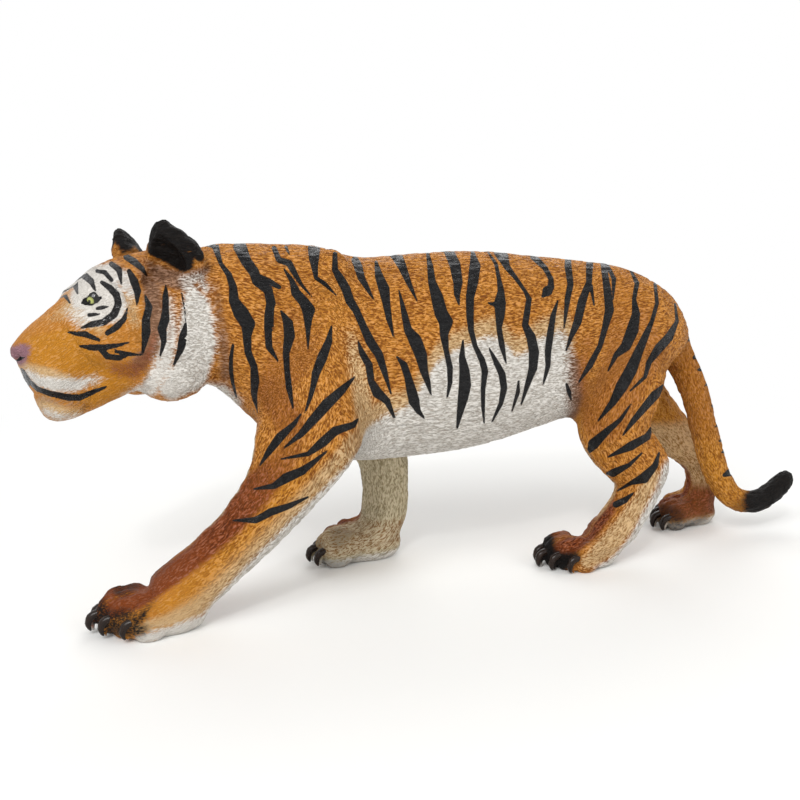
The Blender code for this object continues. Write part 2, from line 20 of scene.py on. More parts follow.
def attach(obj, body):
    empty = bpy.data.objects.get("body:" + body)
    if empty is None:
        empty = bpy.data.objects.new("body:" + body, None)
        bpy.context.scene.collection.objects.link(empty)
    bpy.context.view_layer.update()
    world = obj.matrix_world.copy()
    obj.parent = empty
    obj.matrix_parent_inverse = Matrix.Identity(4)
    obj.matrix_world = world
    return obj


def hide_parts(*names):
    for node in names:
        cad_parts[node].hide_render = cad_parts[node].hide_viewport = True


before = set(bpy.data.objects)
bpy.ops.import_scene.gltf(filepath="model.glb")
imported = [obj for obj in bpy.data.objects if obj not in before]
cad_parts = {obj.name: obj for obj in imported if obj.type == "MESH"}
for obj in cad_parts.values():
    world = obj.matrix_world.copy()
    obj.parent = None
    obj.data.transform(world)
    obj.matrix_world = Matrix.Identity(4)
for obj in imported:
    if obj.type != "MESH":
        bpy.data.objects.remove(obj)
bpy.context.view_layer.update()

LOG = logging.getLogger("tiger")
MM = 0.001
BODY = "root"
NODE = "tiger"

FIELD_LAYERS = ("fields_one", "fields_two", "fields_three")

Tree = bpy.types.NodeTree
Socket = bpy.types.NodeSocket
Piece = bpy.types.Object
Span = tuple[float, float]
Row = tuple[float, ...]
Rows = tuple[Row, ...]


class Zone(Enum):
    """The fields of colour over the orange coat: its own markings, and two of painted shade, the umber in
    creases and the greyed pale of the front legs' inner sides.
    """

    PALE = "pale"
    RUST = "rust"
    GOLD = "gold"
    DARK = "dark"
    PINK = "pink"
    # the pale of the front legs' inner sides, greyed as painted shade
    PALE_IN_SHADE = "pale_in_shade"
    # painted shade: greyish brown laid in creases, under the lip, behind the ruff and on the inner paws
    PAINTED_SHADE = "umber"
    CREAM = "cream"


class Limb(Enum):
    """The stretches of the body that the fur follows."""

    SPINE = "spine"
    LEFT_FORE = "left_fore"
    RIGHT_FORE = "right_fore"
    LEFT_HIND = "left_hind"
    RIGHT_HIND = "right_hind"


# Middle lines of the body, each row x, y, z and the body's radius there, in millimetres
PATHS: dict[Limb, Rows] = {
    Limb.SPINE: ((-140, -11, 76, 9), (-130, -9, 80, 13), (-117, -5, 87, 18), (-102, 0, 93, 22),
        (-84, 0, 92, 23), (-62, 0, 86, 26), (-38, 0, 80, 28), (0, 0, 78, 28), (38, 0, 79, 26),
        (62, 0, 82, 22), (77, 0, 84, 14), (83.5, 0, 74, 7), (89, 0, 63, 6), (93, 0, 53.5, 5.5),
        (96, 0, 44, 5.5), (99.5, -0.5, 35, 5), (103.5, -1.5, 25, 5), (108, -2.5, 17.5, 5),
        (114, -2.5, 13, 5), (121, -2.5, 12, 5), (127.5, -2.5, 13.5, 4.5), (135, -2.5, 20, 4)),
    Limb.LEFT_FORE: ((-50, -14, 96, 6), (-52, -15, 84, 9), (-54, -17, 73, 12), (-55, -19, 63, 14),
        (-58.5, -19.3, 53, 14), (-63.5, -19.3, 43, 12), (-72.5, -19.3, 32, 10), (-83.5, -19.3, 22, 9),
        (-95, -19.3, 14, 9), (-104, -19.3, 9, 9), (-120, -19.3, 6, 9)),
    Limb.RIGHT_FORE: ((-50, 14, 96, 6), (-50, 15, 84, 9), (-44, 17, 71, 12), (-37, 19, 61, 13),
        (-30, 19.3, 51, 12), (-23, 19.3, 41, 10), (-21, 19.3, 30, 9), (-21, 19.3, 20, 9),
        (-23, 19.3, 13, 9), (-29, 19.3, 9, 9), (-46, 19.3, 6, 9)),
    Limb.LEFT_HIND: ((64, -9, 86, 6), (59, -11, 75.5, 12), (55.5, -13, 62, 15), (52.5, -13.8, 50, 14),
        (56, -13.8, 42, 12), (63, -13.8, 34, 10), (63, -13.8, 26.5, 8), (60, -13.8, 20, 8),
        (54.5, -13.8, 12, 8), (47, -13.8, 8, 8), (33, -13.8, 5, 8)),
    Limb.RIGHT_HIND: ((65, 9, 86, 6), (67, 11, 75.5, 11), (71, 13, 65.5, 13), (76.5, 13.8, 56.5, 12),
        (83.5, 13.8, 49, 10), (91.5, 13.8, 41.5, 9), (98.5, 13.8, 34, 7), (105, 13.8, 28.5, 7),
        (109.5, 13.8, 20, 7), (109, 13.8, 12, 8), (94, 13.8, 5, 8)),
}
TWIN = {Limb.RIGHT_FORE: Limb.LEFT_FORE, Limb.RIGHT_HIND: Limb.LEFT_HIND}
LEGS = (Limb.LEFT_FORE, Limb.RIGHT_FORE, Limb.LEFT_HIND, Limb.RIGHT_HIND)

# Stripes: each row is a pixel across and down the photograph, and the stripe's half width in pixels
NECK_AND_SHOULDER: dict[str, Rows] = {
    "nape": ((203, 242, 3.2), (215, 245, 3.4), (218, 255, 2.6), (221, 264, 1.8), (229, 275, 2.8),
        (233, 287, 3.8), (234, 301, 5), (241, 313, 7.5), (248, 324, 7), (247, 336, 4.2), (248, 352, 3.4),
        (254, 367, 3.4), (255, 381, 4.4), (254, 394, 3), (257, 413, 0.5)),
    "throat": ((233, 345, 1.2), (231, 358, 1.8), (231, 372, 2), (233, 384, 1.5), (237, 400, 0.5)),
    "neck_two": ((240, 247, 6.5), (246, 261, 5.2), (254, 272, 5), (257, 281, 4.8), (268, 290, 4.4),
        (271, 303, 4.6), (268, 316, 3.6), (268, 330, 3.6), (269, 347, 3.2), (278, 361, 0.6)),
    "neck_two_prong": ((272, 310, 2), (273, 331, 0.6)),
    "neck_two_branch": ((257, 276, 2.6), (268, 281, 3), (279, 287, 2.2)),
    "neck_three": ((274, 248, 2.2), (279, 260, 2.8), (289, 263, 3.2), (294, 272, 2.8), (301, 284, 1.6),
        (312, 297, 0.5)),
    "neck_tick": ((286, 247, 1.4), (289, 254, 0.6)),
    "shoulder_drop": ((284, 269, 0.7), (292, 281, 2.5), (296, 293, 4.6), (304, 302, 5), (308.5, 310, 6.5),
        (308, 319, 4.2), (308, 330, 2.4), (308, 349, 0.5)),
    "withers": ((314, 248, 6), (314, 258, 5), (314.5, 266, 3.4), (316, 278, 1.8), (325, 284, 2),
        (336, 295, 0.5)),
    "behind_shoulder": ((335, 254, 2.2), (335, 270, 3), (341, 280, 4.2), (346, 289, 4.4), (350, 301, 4.4),
        (356, 310, 3.6), (363, 326, 3.6), (370, 341, 4.6), (379, 355, 4.2), (384, 370, 3),
        (391, 394, 0.6)),
    "back_short": ((355, 260, 3.4), (358, 266, 4.2), (361, 277, 3.6), (366, 286, 2.6), (374, 300, 0.5)),
    "back_leaf": ((376, 262, 1.4), (379, 276, 4), (384, 289, 5.4), (386, 301, 4), (389, 319, 2.8),
        (394, 338, 0.5)),
    "rib_low": ((358, 341, 0.6), (362, 353, 3), (369, 365, 3.6), (371, 381, 3.2), (377.5, 393, 5),
        (387, 401, 3.2), (394, 417, 1.2)),
    "upper_arm": ((281, 311, 0.8), (288, 323, 4.8), (289.5, 336, 5.4), (286, 353, 3.2), (287, 370, 2.8),
        (289, 388, 3), (293, 408, 0.7)),
}
FLANK: dict[str, Rows] = {
    "rib_one": ((394, 254, 4.4), (398, 258, 5), (402, 266, 4.2), (408, 281, 2.8), (417, 301, 0.5)),
    "rib_two": ((399, 290, 0.5), (404, 312, 2.8), (408, 330, 4), (415, 340, 6.4), (421, 355, 6),
        (424, 371, 4), (428, 383, 2.6), (431, 395, 0.6)),
    "rib_two_low": ((397, 357, 0.8), (404, 365, 3.4), (408, 377, 3.6), (411, 389, 4.8), (414, 401, 5.4),
        (418, 411, 2.6), (424, 418, 0.8)),
    "rib_three": ((427, 250, 1), (430, 265, 2.8), (432, 282, 3.8), (437, 297, 6), (441, 313, 6.4),
        (446, 322, 6.8), (444, 334, 4.2), (446, 349, 2.6), (450, 368, 2.8), (450, 383, 2.2),
        (447, 398, 0.6)),
    "saddle_one": ((447, 248, 4.2), (450, 254, 4.8), (455, 265, 5.4), (458, 282, 4.6), (457, 294, 3),
        (459, 305, 0.6)),
    "rib_four": ((472, 249, 0.8), (475, 266, 5.4), (473, 282, 5.2), (470, 297, 4), (470, 316, 3.6),
        (471, 330, 2.8), (475, 346, 2.2), (482, 360, 3), (485, 371, 3.2), (483, 389, 2.2), (483, 406, 1.8),
        (484, 423, 0.6)),
    "belly_leaf": ((463, 340, 0.6), (462, 357, 3), (464.5, 371, 5), (465, 385, 6), (463, 398, 5),
        (460, 412, 3.2), (457, 428, 0.9)),
    "rib_five": ((488, 252, 0.8), (496, 264, 1.6), (499, 279, 2), (501, 291, 3.2), (500, 303, 5.8),
        (500, 316, 4.6), (499, 328, 2.6), (502, 346, 2.8), (506, 363, 0.6)),
    "rib_five_thorn": ((497, 305, 2.6), (488, 303, 0.7)),
    "belly_hook": ((489, 348, 0.6), (496, 362, 2.6), (502, 374, 3.4), (504, 388, 3.2), (501, 403, 2.2),
        (492, 422, 0.7)),
    "rib_six": ((499, 252, 5), (503, 257, 5.4), (507, 267, 3), (515, 277, 2), (525, 291, 1.6),
        (529, 299, 2.6), (527, 313, 3), (525, 325, 3), (531, 337, 4.6), (534, 352, 5), (533, 368, 4.2),
        (528, 383, 2.6), (521, 405, 0.7)),
    "belly_tick": ((518.5, 381, 0.7), (518, 392, 2), (512, 411, 0.7)),
    "loin_hook": ((533, 257, 2.6), (538, 261, 3), (545, 268, 2.4), (551, 279, 2.4), (551, 287, 3.2),
        (547.5, 291, 5), (543, 296, 1.6)),
    "flank_low": ((558, 300, 0.6), (553, 316, 2.6), (550, 336, 3.4), (548, 351, 3.2), (548, 366, 2.4),
        (543, 385, 0.6)),
    "loin_one": ((568, 260, 3), (568, 266, 3.4), (570.5, 284, 3), (567.5, 299, 2.8), (564, 328, 0.6)),
    "loin_two": ((590, 259, 3), (589.5, 266, 3.4), (589, 282, 2.8), (582, 302, 4.2), (577.5, 322, 4),
        (571, 337, 2.2), (566, 351, 0.7)),
    "loin_two_prong": ((591, 286, 1.8), (594, 305, 0.7)),
    "croup": ((603, 261, 2.6), (607, 288, 3.6), (609.5, 310, 4.4), (605, 328, 3), (600, 346, 2.4),
        (590, 365, 3), (579, 382, 0.7)),
    "croup_prong": ((607, 264, 1.2), (614, 279, 2.2), (613, 299, 0.6)),
    "fold_tick": ((566.5, 384, 1), (569, 392, 2.2), (571, 400, 0.6)),
}
HAUNCH_AND_HOCK: dict[str, Rows] = {
    "haunch_one": ((630, 269, 0.9), (637, 283, 2.2), (634, 299, 2), (636, 314, 4), (632.5, 330, 6),
        (626, 346, 5), (616, 355, 2.6), (608, 371, 0.6)),
    "haunch_two": ((655, 284, 1.4), (657, 303, 1.8), (652, 321, 2), (645, 337, 3.4), (638, 353, 4.6),
        (631, 370, 6), (622, 386, 6), (613, 402, 3.6), (598, 421, 0.7)),
    "haunch_three": ((675, 304, 0.9), (677, 321, 1.6), (669, 337, 4.2), (659, 348, 4.6), (649, 362, 2.6),
        (645, 377, 1.8), (630, 391, 0.7)),
    "thigh_one": ((664, 384, 0.8), (655, 395, 4.4), (644, 408, 3.6), (634, 420, 2.8), (623, 435, 0.7)),
    "thigh_two": ((631, 404, 0.7), (620, 420, 2), (605, 433, 3.6), (593.5, 444, 5.4), (589, 451, 2.6)),
    "thigh_three": ((652, 426, 0.8), (647, 437, 3.4), (631, 446, 4.4), (608, 457, 0.7)),
    "hock_one": ((642, 453, 0.7), (629, 465, 2), (613, 473, 4), (607, 473.5, 1.2)),
    "hock_two": ((659, 453, 1), (655, 466, 3), (644, 478, 5.2), (631, 483, 2), (617, 491, 0.7)),
    "hock_three": ((633.5, 493, 0.7), (625, 500, 3), (616, 504.5, 3.2)),
}
FORELEG: dict[str, Rows] = {
    "fore_one": ((331.5, 326, 0.7), (328.5, 342, 3.6), (322, 358, 5), (316, 373, 4), (313, 387, 2.6),
        (310, 398, 2), (305, 413, 0.6)),
    "fore_two": ((354.5, 377, 0.7), (342, 390, 4), (327, 404, 5.4), (313, 420, 4.6), (301, 434, 3.2),
        (284, 448, 0.7)),
    "fore_three": ((301, 414, 0.7), (294, 424, 2.4), (280, 437, 4.4), (270, 450, 3.4), (260, 465, 0.7)),
    "fore_four": ((358, 419, 0.8), (353, 425, 3), (335, 431, 4.4), (322, 443, 4.6), (308, 454, 2.2),
        (281, 459, 0.7)),
    "fore_five": ((327, 451, 0.7), (314, 462, 2.4), (302, 471, 4), (286, 478, 4.8), (274, 486, 3),
        (254, 489, 0.7)),
    "fore_six": ((308, 497, 0.7), (289, 506, 2.8), (271, 512, 3.8), (256, 520, 3.2), (233, 520.5, 0.7)),
}
FACE: dict[str, Rows] = {
    "temple": ((129, 271, 2), (134, 281, 4), (137.5, 291, 3.6), (137, 305, 0.6)),
    "eye_ring": ((102, 282.5, 1.8), (109.5, 287.5, 3), (116.5, 295, 3.4), (118.5, 304, 3.4),
        (114, 314.5, 3.6), (104, 322, 3.4), (91, 324.5, 2.8), (81, 328, 0.6)),
    "cheek_arc": ((127.5, 308, 0.6), (124, 319.5, 2.4), (116.5, 327, 3.2), (107.5, 333, 2.6)),
    "cheek_one": ((68, 332, 0.7), (78, 334, 2.2), (84.5, 334, 3), (99, 340, 1.5)),
    "cheek_two": ((79, 346, 0.7), (91, 347.5, 3), (104, 347.5, 3), (116.5, 345.5, 2), (129, 342.5, 0.6)),
    "cheek_three": ((101, 349, 2.8), (107.5, 356.5, 3), (119, 358, 2.6), (128, 354, 2), (141, 355, 0.7)),
    "cheek_three_prong": ((116, 351.5, 1.6), (128, 354, 2)),
    "jowl_one": ((145, 295, 0.6), (149, 307, 3.4), (146, 319.5, 4), (146, 332, 4.4), (144.5, 344, 2.6),
        (142, 355, 0.6)),
    "jowl_two": ((166, 285, 0.6), (165.5, 296.5, 3), (165.5, 309, 3.2), (165, 319.5, 4.4),
        (162, 328.5, 4.4), (164, 341, 2.6), (160, 357, 0.6)),
    "jowl_three": ((181.5, 293, 0.6), (185.5, 307, 1.6), (188, 322, 2.6), (184, 337, 5), (180, 351, 3),
        (173, 367, 0.6)),
    "brow_one": ((63, 292.5, 2.4), (70, 303, 0.6)),
    "brow_two": ((74.5, 282.5, 3.4), (77.5, 293.5, 0.7)),
    "brow_three": ((85, 276, 3.4), (91, 281, 3), (95.5, 291, 0.7)),
    "brow_four": ((97, 271, 1.6), (105, 272.5, 2.2), (111.5, 280, 1.8)),
    "brow_five": ((111.5, 264, 2.4), (119, 269.5, 3), (121.5, 284, 0.7)),
    "crown": ((126.5, 257, 3), (134.5, 262, 3.4), (142, 268.5, 2.4), (147, 276, 0.6)),
    "under_eye_one": ((97, 308.5, 1.4), (102.5, 307.5, 1.9), (108, 306.5, 0.6)),
    "under_eye_two": ((89, 315, 1.7), (94.5, 314.5, 1.6), (99.5, 314, 0.6)),
    "eye_rim": ((82, 303, 0.8), (86, 301.5, 3.6), (90.5, 300.8, 4.8), (95.5, 299.5, 3.8), (101, 297.6, 1)),
    "nostril": ((17, 360.5, 0.8), (20.5, 358.5, 1.6), (24, 358, 0.7)),
    "mouth": ((22.5, 370, 1.4), (29.5, 381.5, 2), (37.5, 389, 2.2), (50, 393.5, 2.6), (68, 397.5, 3.2),
        (80, 397.5, 3), (94, 391.5, 2.2), (106, 387, 1)),
}
TAIL_BARS: dict[str, Rows] = {
    "bar_one": ((691, 336, 1.6), (688, 341, 0.9)),
    "bar_two": ((698, 356, 3.6), (694, 358, 2)),
    "bar_three": ((701, 370, 2.8), (697, 371, 1.5)),
    "bar_four": ((705, 385, 3.6), (701, 388, 2.2)),
    "bar_five": ((710.5, 407, 3.6), (706.5, 408, 2)),
    "bar_six": ((715, 426, 3), (711.5, 428, 1.8)),
    "bar_seven": ((719, 441, 3.2), (715.5, 442, 1.8)),
    "bar_eight": ((722, 452, 2.8), (719, 453, 1.6)),
    "bar_nine": ((728, 473, 3.8), (724, 475, 2.2)),
}

# Fields of colour: each row is a pixel across and down, the half width in pixels and the strength
FIELDS: dict[str, tuple[Zone, Rows]] = {
    "eye_surround": (Zone.PALE, ((84, 298, 13, 1), (103, 294, 18, 1), (110, 306, 16, 1),
        (96, 312, 12, 1))),
    "forehead": (Zone.PALE, ((78, 284, 7, 0.9), (92, 276, 9, 1), (110, 272, 8, 1), (122, 277, 7, 0.9),
        (131, 292, 6, 0.7))),
    "eye_corner": (Zone.PALE, ((70, 312, 7, 0.4), (82, 322, 8, 0.5))),
    "ruff_front": (Zone.PALE, ((170, 298, 5, 0.4), (171, 330, 7, 0.6), (164, 364, 9, 0.8),
        (150, 388, 8, 0.8), (126, 397, 4, 0.6))),
    "ruff": (Zone.PALE, ((190, 288, 6, 0.7), (196, 306, 13, 1), (197, 345, 18, 1), (190, 374, 17, 1),
        (172, 388, 11, 1))),
    "ear_foot_grey": (Zone.PALE, ((184, 281, 5, 0.5), (200, 277, 4, 0.6), (206, 290, 4, 0.6))),
    "upper_lip": (Zone.PALE, ((27, 372, 3, 0.7), (38, 381, 5, 0.9), (56, 385, 6, 1), (76, 385, 6, 0.9),
        (98, 379, 4, 0.5))),
    "lip_edge": (Zone.CREAM, ((26, 364, 7, 0.7), (50, 374, 10, 0.9), (80, 376, 9, 0.8),
        (106, 370, 6, 0.4))),
    "chin": (Zone.CREAM, ((44, 404, 8, 0.7), (58, 412, 8, 0.8), (78, 410, 6, 0.6))),
    "chin_front": (Zone.PALE, ((46, 412, 4, 0.7), (60, 418, 4, 0.7), (78, 416, 3, 0.5))),
    # painted shade under the lip
    "under_lip_painted_shade": (Zone.PAINTED_SHADE, ((40, 398, 3, 0.5), (56, 402, 4, 0.5), (84, 404, 4, 0.4))),
    "nose_bridge": (Zone.CREAM, ((52, 320, 6, 0.3), (72, 306, 8, 0.7), (82, 316, 8, 0.7),
        (104, 334, 4, 0.5))),
    "brow_pink": (Zone.CREAM, ((70, 294, 5, 0.4), (128, 300, 9, 0.6), (134, 322, 7, 0.5))),
    "throat": (Zone.PALE, ((205, 388, 6, 0.6), (222, 392, 8, 0.7), (236, 402, 6, 0.6))),
    # painted shade between the face and the ruff
    "cheek_painted_shade": (Zone.PAINTED_SHADE, ((142, 270, 6, 0.5), (152, 290, 9, 0.8), (156, 320, 9, 0.9),
        (152, 350, 8, 0.9), (138, 364, 8, 0.7))),
    # painted shade at the foot of the ear
    "ear_foot": (Zone.PAINTED_SHADE, ((148, 264, 5, 0.6), (162, 276, 9, 0.9), (184, 282, 9, 0.9),
        (206, 270, 4, 0.7))),
    # painted shade behind the ruff
    "neck_painted_shade": (Zone.PAINTED_SHADE, ((214, 284, 4, 0.5), (219, 312, 5, 0.6), (223, 340, 6, 0.6),
        (226, 376, 6, 0.6))),
    "armpit": (Zone.CREAM, ((350, 332, 5, 0.4), (355, 352, 8, 0.6), (362, 395, 9, 0.7),
        (368, 432, 9, 0.9))),
    # painted shade in the fold between belly and haunch
    "groin_painted_shade": (Zone.PAINTED_SHADE, ((562, 336, 5, 0.4), (571, 364, 9, 0.8), (571, 396, 11, 0.9),
        (566, 416, 10, 0.9))),
    "foreleg_rear": (Zone.PALE, ((386, 430, 5, 0.8), (370, 450, 6, 0.9), (350, 472, 6, 1),
        (325, 497, 6, 1), (298, 523, 6, 1), (272, 549, 6, 1), (249, 573, 6, 1), (228, 597, 7, 1),
        (208, 622, 8, 1), (176, 632, 6, 1), (140, 640, 4, 1))),
    "foreleg_strands": (Zone.CREAM, ((356, 440, 10, 0.5), (334, 470, 11, 0.7), (306, 500, 12, 0.8),
        (280, 526, 12, 0.9), (254, 550, 12, 0.9), (230, 574, 12, 0.9), (206, 600, 12, 0.9),
        (172, 620, 9, 0.8), (138, 630, 5, 0.7))),
    "hock_rear": (Zone.PALE, ((668, 466, 4, 0.8), (660, 492, 4, 0.9), (648, 516, 5, 1), (634, 542, 5, 1),
        (618, 563, 7, 1), (600, 572, 5, 1))),
    "hock_strands": (Zone.CREAM, ((654, 476, 7, 0.6), (640, 502, 8, 0.8), (624, 526, 9, 0.9),
        (606, 548, 10, 0.9), (588, 562, 7, 0.7))),
    "muzzle": (Zone.GOLD, ((34, 350, 14, 0.9), (64, 350, 20, 1), (92, 372, 14, 1), (120, 384, 10, 0.8))),
    "jaw": (Zone.GOLD, ((70, 402, 8, 0.5), (100, 398, 9, 0.8), (130, 390, 8, 0.6))),
    "foreleg_gold": (Zone.GOLD, ((330, 442, 12, 0.2), (302, 476, 12, 0.4), (274, 508, 12, 0.5),
        (246, 536, 12, 0.5), (218, 564, 12, 0.5), (188, 592, 12, 0.5), (160, 610, 8, 0.5))),
    "foreleg_front": (Zone.RUST, ((298, 434, 9, 0.2), (282, 462, 14, 0.4), (256, 490, 18, 0.6),
        (228, 516, 20, 0.75), (196, 544, 20, 0.85), (164, 568, 20, 0.95), (132, 590, 20, 1),
        (106, 604, 16, 1))),
    "shin": (Zone.RUST, ((612, 490, 5, 0.5), (606, 508, 9, 0.9), (590, 526, 11, 1), (570, 542, 12, 1),
        (556, 552, 10, 1))),
    "cheek": (Zone.RUST, ((154, 334, 4, 0.4), (151, 352, 6, 0.5), (136, 370, 9, 0.5), (116, 370, 8, 0.4))),
    "shoulder": (Zone.RUST, ((300, 290, 16, 0.12), (300, 340, 26, 0.2), (272, 390, 18, 0.34),
        (290, 424, 16, 0.36))),
    "haunch": (Zone.RUST, ((620, 290, 22, 0.16), (636, 350, 30, 0.28), (604, 420, 24, 0.28))),
    # painted shade in the fold at the front of the haunch
    "haunch_fold_painted_shade": (Zone.RUST, ((588, 340, 6, 0.3), (582, 376, 6, 0.36), (588, 420, 7, 0.3))),
    "toes_near": (Zone.DARK, ((96, 594, 9, 0.5), (97, 610, 12, 0.6), (106, 622, 11, 0.6),
        (122, 616, 9, 0.55), (138, 618, 7, 0.5))),
    "toe_tips_near": (Zone.DARK, ((92, 606, 9, 0.6), (102, 626, 9, 0.65), (122, 630, 8, 0.65),
        (141, 630, 7, 0.6))),
    # painted shade between the toes
    "toe_gap_painted_shade": (Zone.DARK, ((156, 600, 1, 0.3), (146, 610, 2.5, 0.8), (138, 622, 4, 0.9))),
    "instep_near": (Zone.DARK, ((190, 540, 5, 0.2), (152, 568, 10, 0.4), (122, 586, 12, 0.5))),
    "toes_hind": (Zone.DARK, ((546, 540, 8, 0.9), (546, 556, 9, 1), (560, 563, 9, 1), (574, 558, 6, 0.8))),
    "tail_tip": (Zone.DARK, ((740, 506, 8, 0.3), (752, 504, 12, 1), (772, 490, 16, 1), (788, 474, 16, 1))),
    "nose_pad": (Zone.PINK, ((14, 353, 6, 1), (24, 350, 6, 1), (20, 360, 5, 1))),
}
EAR: dict[str, Rows] = {
    "ear_front": ((152, 250, 5), (157, 238, 10), (163, 223, 13)),
    "ear_middle": ((172, 222, 11), (176, 243, 12), (183, 259, 9)),
    "ear_rear": ((180, 224, 10), (194, 240, 10), (200, 256, 6)),
    "ear_low": ((153, 250, 6), (166, 253, 9), (184, 261, 11)),
}

# Where the painted skin is a little fuller than the solid: x, y, z, reach, then the push in x, y and z
SWELLS: Rows = (
    (-73, -21, 50, 12, -1.5, 0, 0.3), (-80, -21, 40, 12, -1.5, 0, 0.5), (-89, -21, 30, 9, -0.9, 0, 0.5),
    (-88.5, -17, 112, 9, 2.4, 0, 0.6), (70, -16, 34, 9, 1.6, 0, 0),
)
BELLY_EDGE: Rows = (
    (345, 440), (360, 432), (372, 422), (386, 412), (400, 408), (412, 400), (425, 378), (437, 360),
    (450, 350), (465, 344), (480, 336), (495, 333), (507, 343), (516, 354), (526, 350), (536, 337),
    (550, 332), (562, 326), (571, 334), (576, 352), (579, 420),
)
CREAM_ABOVE_BELLY_PX = 26.0
FIELD_EDGE_PX = 6.0


def hex_colour(code: str) -> tuple[float, float, float, float]:
    """Turns an sRGB hex colour into linear light.

    Args:
        code: the colour as "#RRGGBB".

    Returns:
        Linear red, green and blue, and an alpha of 1.
    """
    channels = [int(code[i:i + 2], 16) / 255 for i in (1, 3, 5)]
    linear = [c / 12.92 if c <= 0.04045 else ((c + 0.055) / 1.055) ** 2.4 for c in channels]
    return (*linear, 1.0)


def smoothstep(low: float, high: float, value: np.ndarray) -> np.ndarray:
    """Eases from 0 at low to 1 at high; low may lie above high."""
    t = np.clip((value - low) / (high - low), 0, 1)
    return t * t * (3 - 2 * t)


def add_node(tree: Tree, kind: str, settings: dict | None = None,
             inputs: dict | None = None) -> bpy.types.Node:
    """Adds a node with its settings, socket values and links.

    Args:
        tree: the node tree it joins.
        kind: the node's type name.
        settings: attribute values of the node.
        inputs: socket names or numbers, each with a value or an output socket to link.

    Returns:
        The new node.
    """
    node = tree.nodes.new(kind)
    for name, value in (settings or {}).items():
        setattr(node, name, value)
    for name, value in (inputs or {}).items():
        if isinstance(value, Socket):
            tree.links.new(value, node.inputs[name])
        else:
            node.inputs[name].default_value = value
    return node


def ease(tree: Tree, value: Socket, start: float, end: float) -> Socket:
    """Eases a value from 0 at the start to 1 at the end."""
    return add_node(tree, "ShaderNodeMapRange", {"interpolation_type": "SMOOTHSTEP"},
                    {"Value": value, "From Min": start, "From Max": end}).outputs["Result"]


def spread(tree: Tree, value: Socket, low: float, high: float) -> Socket:
    """Spreads a value of 0 to 1 from low to high."""
    return add_node(tree, "ShaderNodeMapRange", None,
                    {"Value": value, "To Min": low, "To Max": high}).outputs["Result"]


def calculate(tree: Tree, operation: str, *values: Socket | float) -> Socket:
    """One step of arithmetic; a sum is kept within 0 to 1."""
    node = add_node(tree, "ShaderNodeMath", {"operation": operation, "use_clamp": operation == "ADD"},
                    dict(enumerate(values)))
    return node.outputs[0]


def mix_colours(tree: Tree, share: Socket | float, first: object, second: object) -> Socket:
    """Mixes two colours, each a colour or a socket."""
    return add_node(tree, "ShaderNodeMix", {"data_type": "RGBA"}, {0: share, 6: first, 7: second}).outputs[2]


def deselect_all() -> None:
    """Leaves object mode with nothing selected."""
    if bpy.context.object and bpy.context.object.mode != "OBJECT":
        bpy.ops.object.mode_set(mode="OBJECT")
    bpy.ops.object.select_all(action="DESELECT")


def choose(piece: Piece) -> None:
    """Makes one piece the only selected and the active one."""
    deselect_all()
    piece.select_set(True)
    bpy.context.view_layer.objects.active = piece


def apply_place(piece: Piece) -> None:
    """Moves a piece's place, turn and size into its mesh."""
    choose(piece)
    bpy.ops.object.transform_apply(location=True, rotation=True, scale=True)


def apply_modifier(piece: Piece, name: str, kind: str, settings: dict) -> None:
    """Adds a modifier and applies it.

    Args:
        piece: the object it works on.
        name: the modifier's name.
        kind: the modifier's type.
        settings: attribute values of the modifier.
    """
    choose(piece)
    modifier = piece.modifiers.new(name, kind)
    for key, value in settings.items():
        setattr(modifier, key, value)
    bpy.ops.object.modifier_apply(modifier=name)


def vertex_places(mesh: bpy.types.Mesh) -> np.ndarray:
    """The mesh's vertices as an array of n by 3."""
    flat = np.empty(len(mesh.vertices) * 3)
    mesh.vertices.foreach_get("co", flat)
    return flat.reshape(-1, 3)


def vertex_normals(mesh: bpy.types.Mesh) -> np.ndarray:
    """The mesh's vertex normals as an array of n by 3."""
    flat = np.empty(len(mesh.vertices) * 3)
    mesh.vertex_normals.foreach_get("vector", flat)
    return flat.reshape(-1, 3)


def unit(vectors: np.ndarray) -> np.ndarray:
    """Scales each row to length 1."""
    return vectors / np.maximum(np.linalg.norm(vectors, axis=-1, keepdims=True), 1e-9)


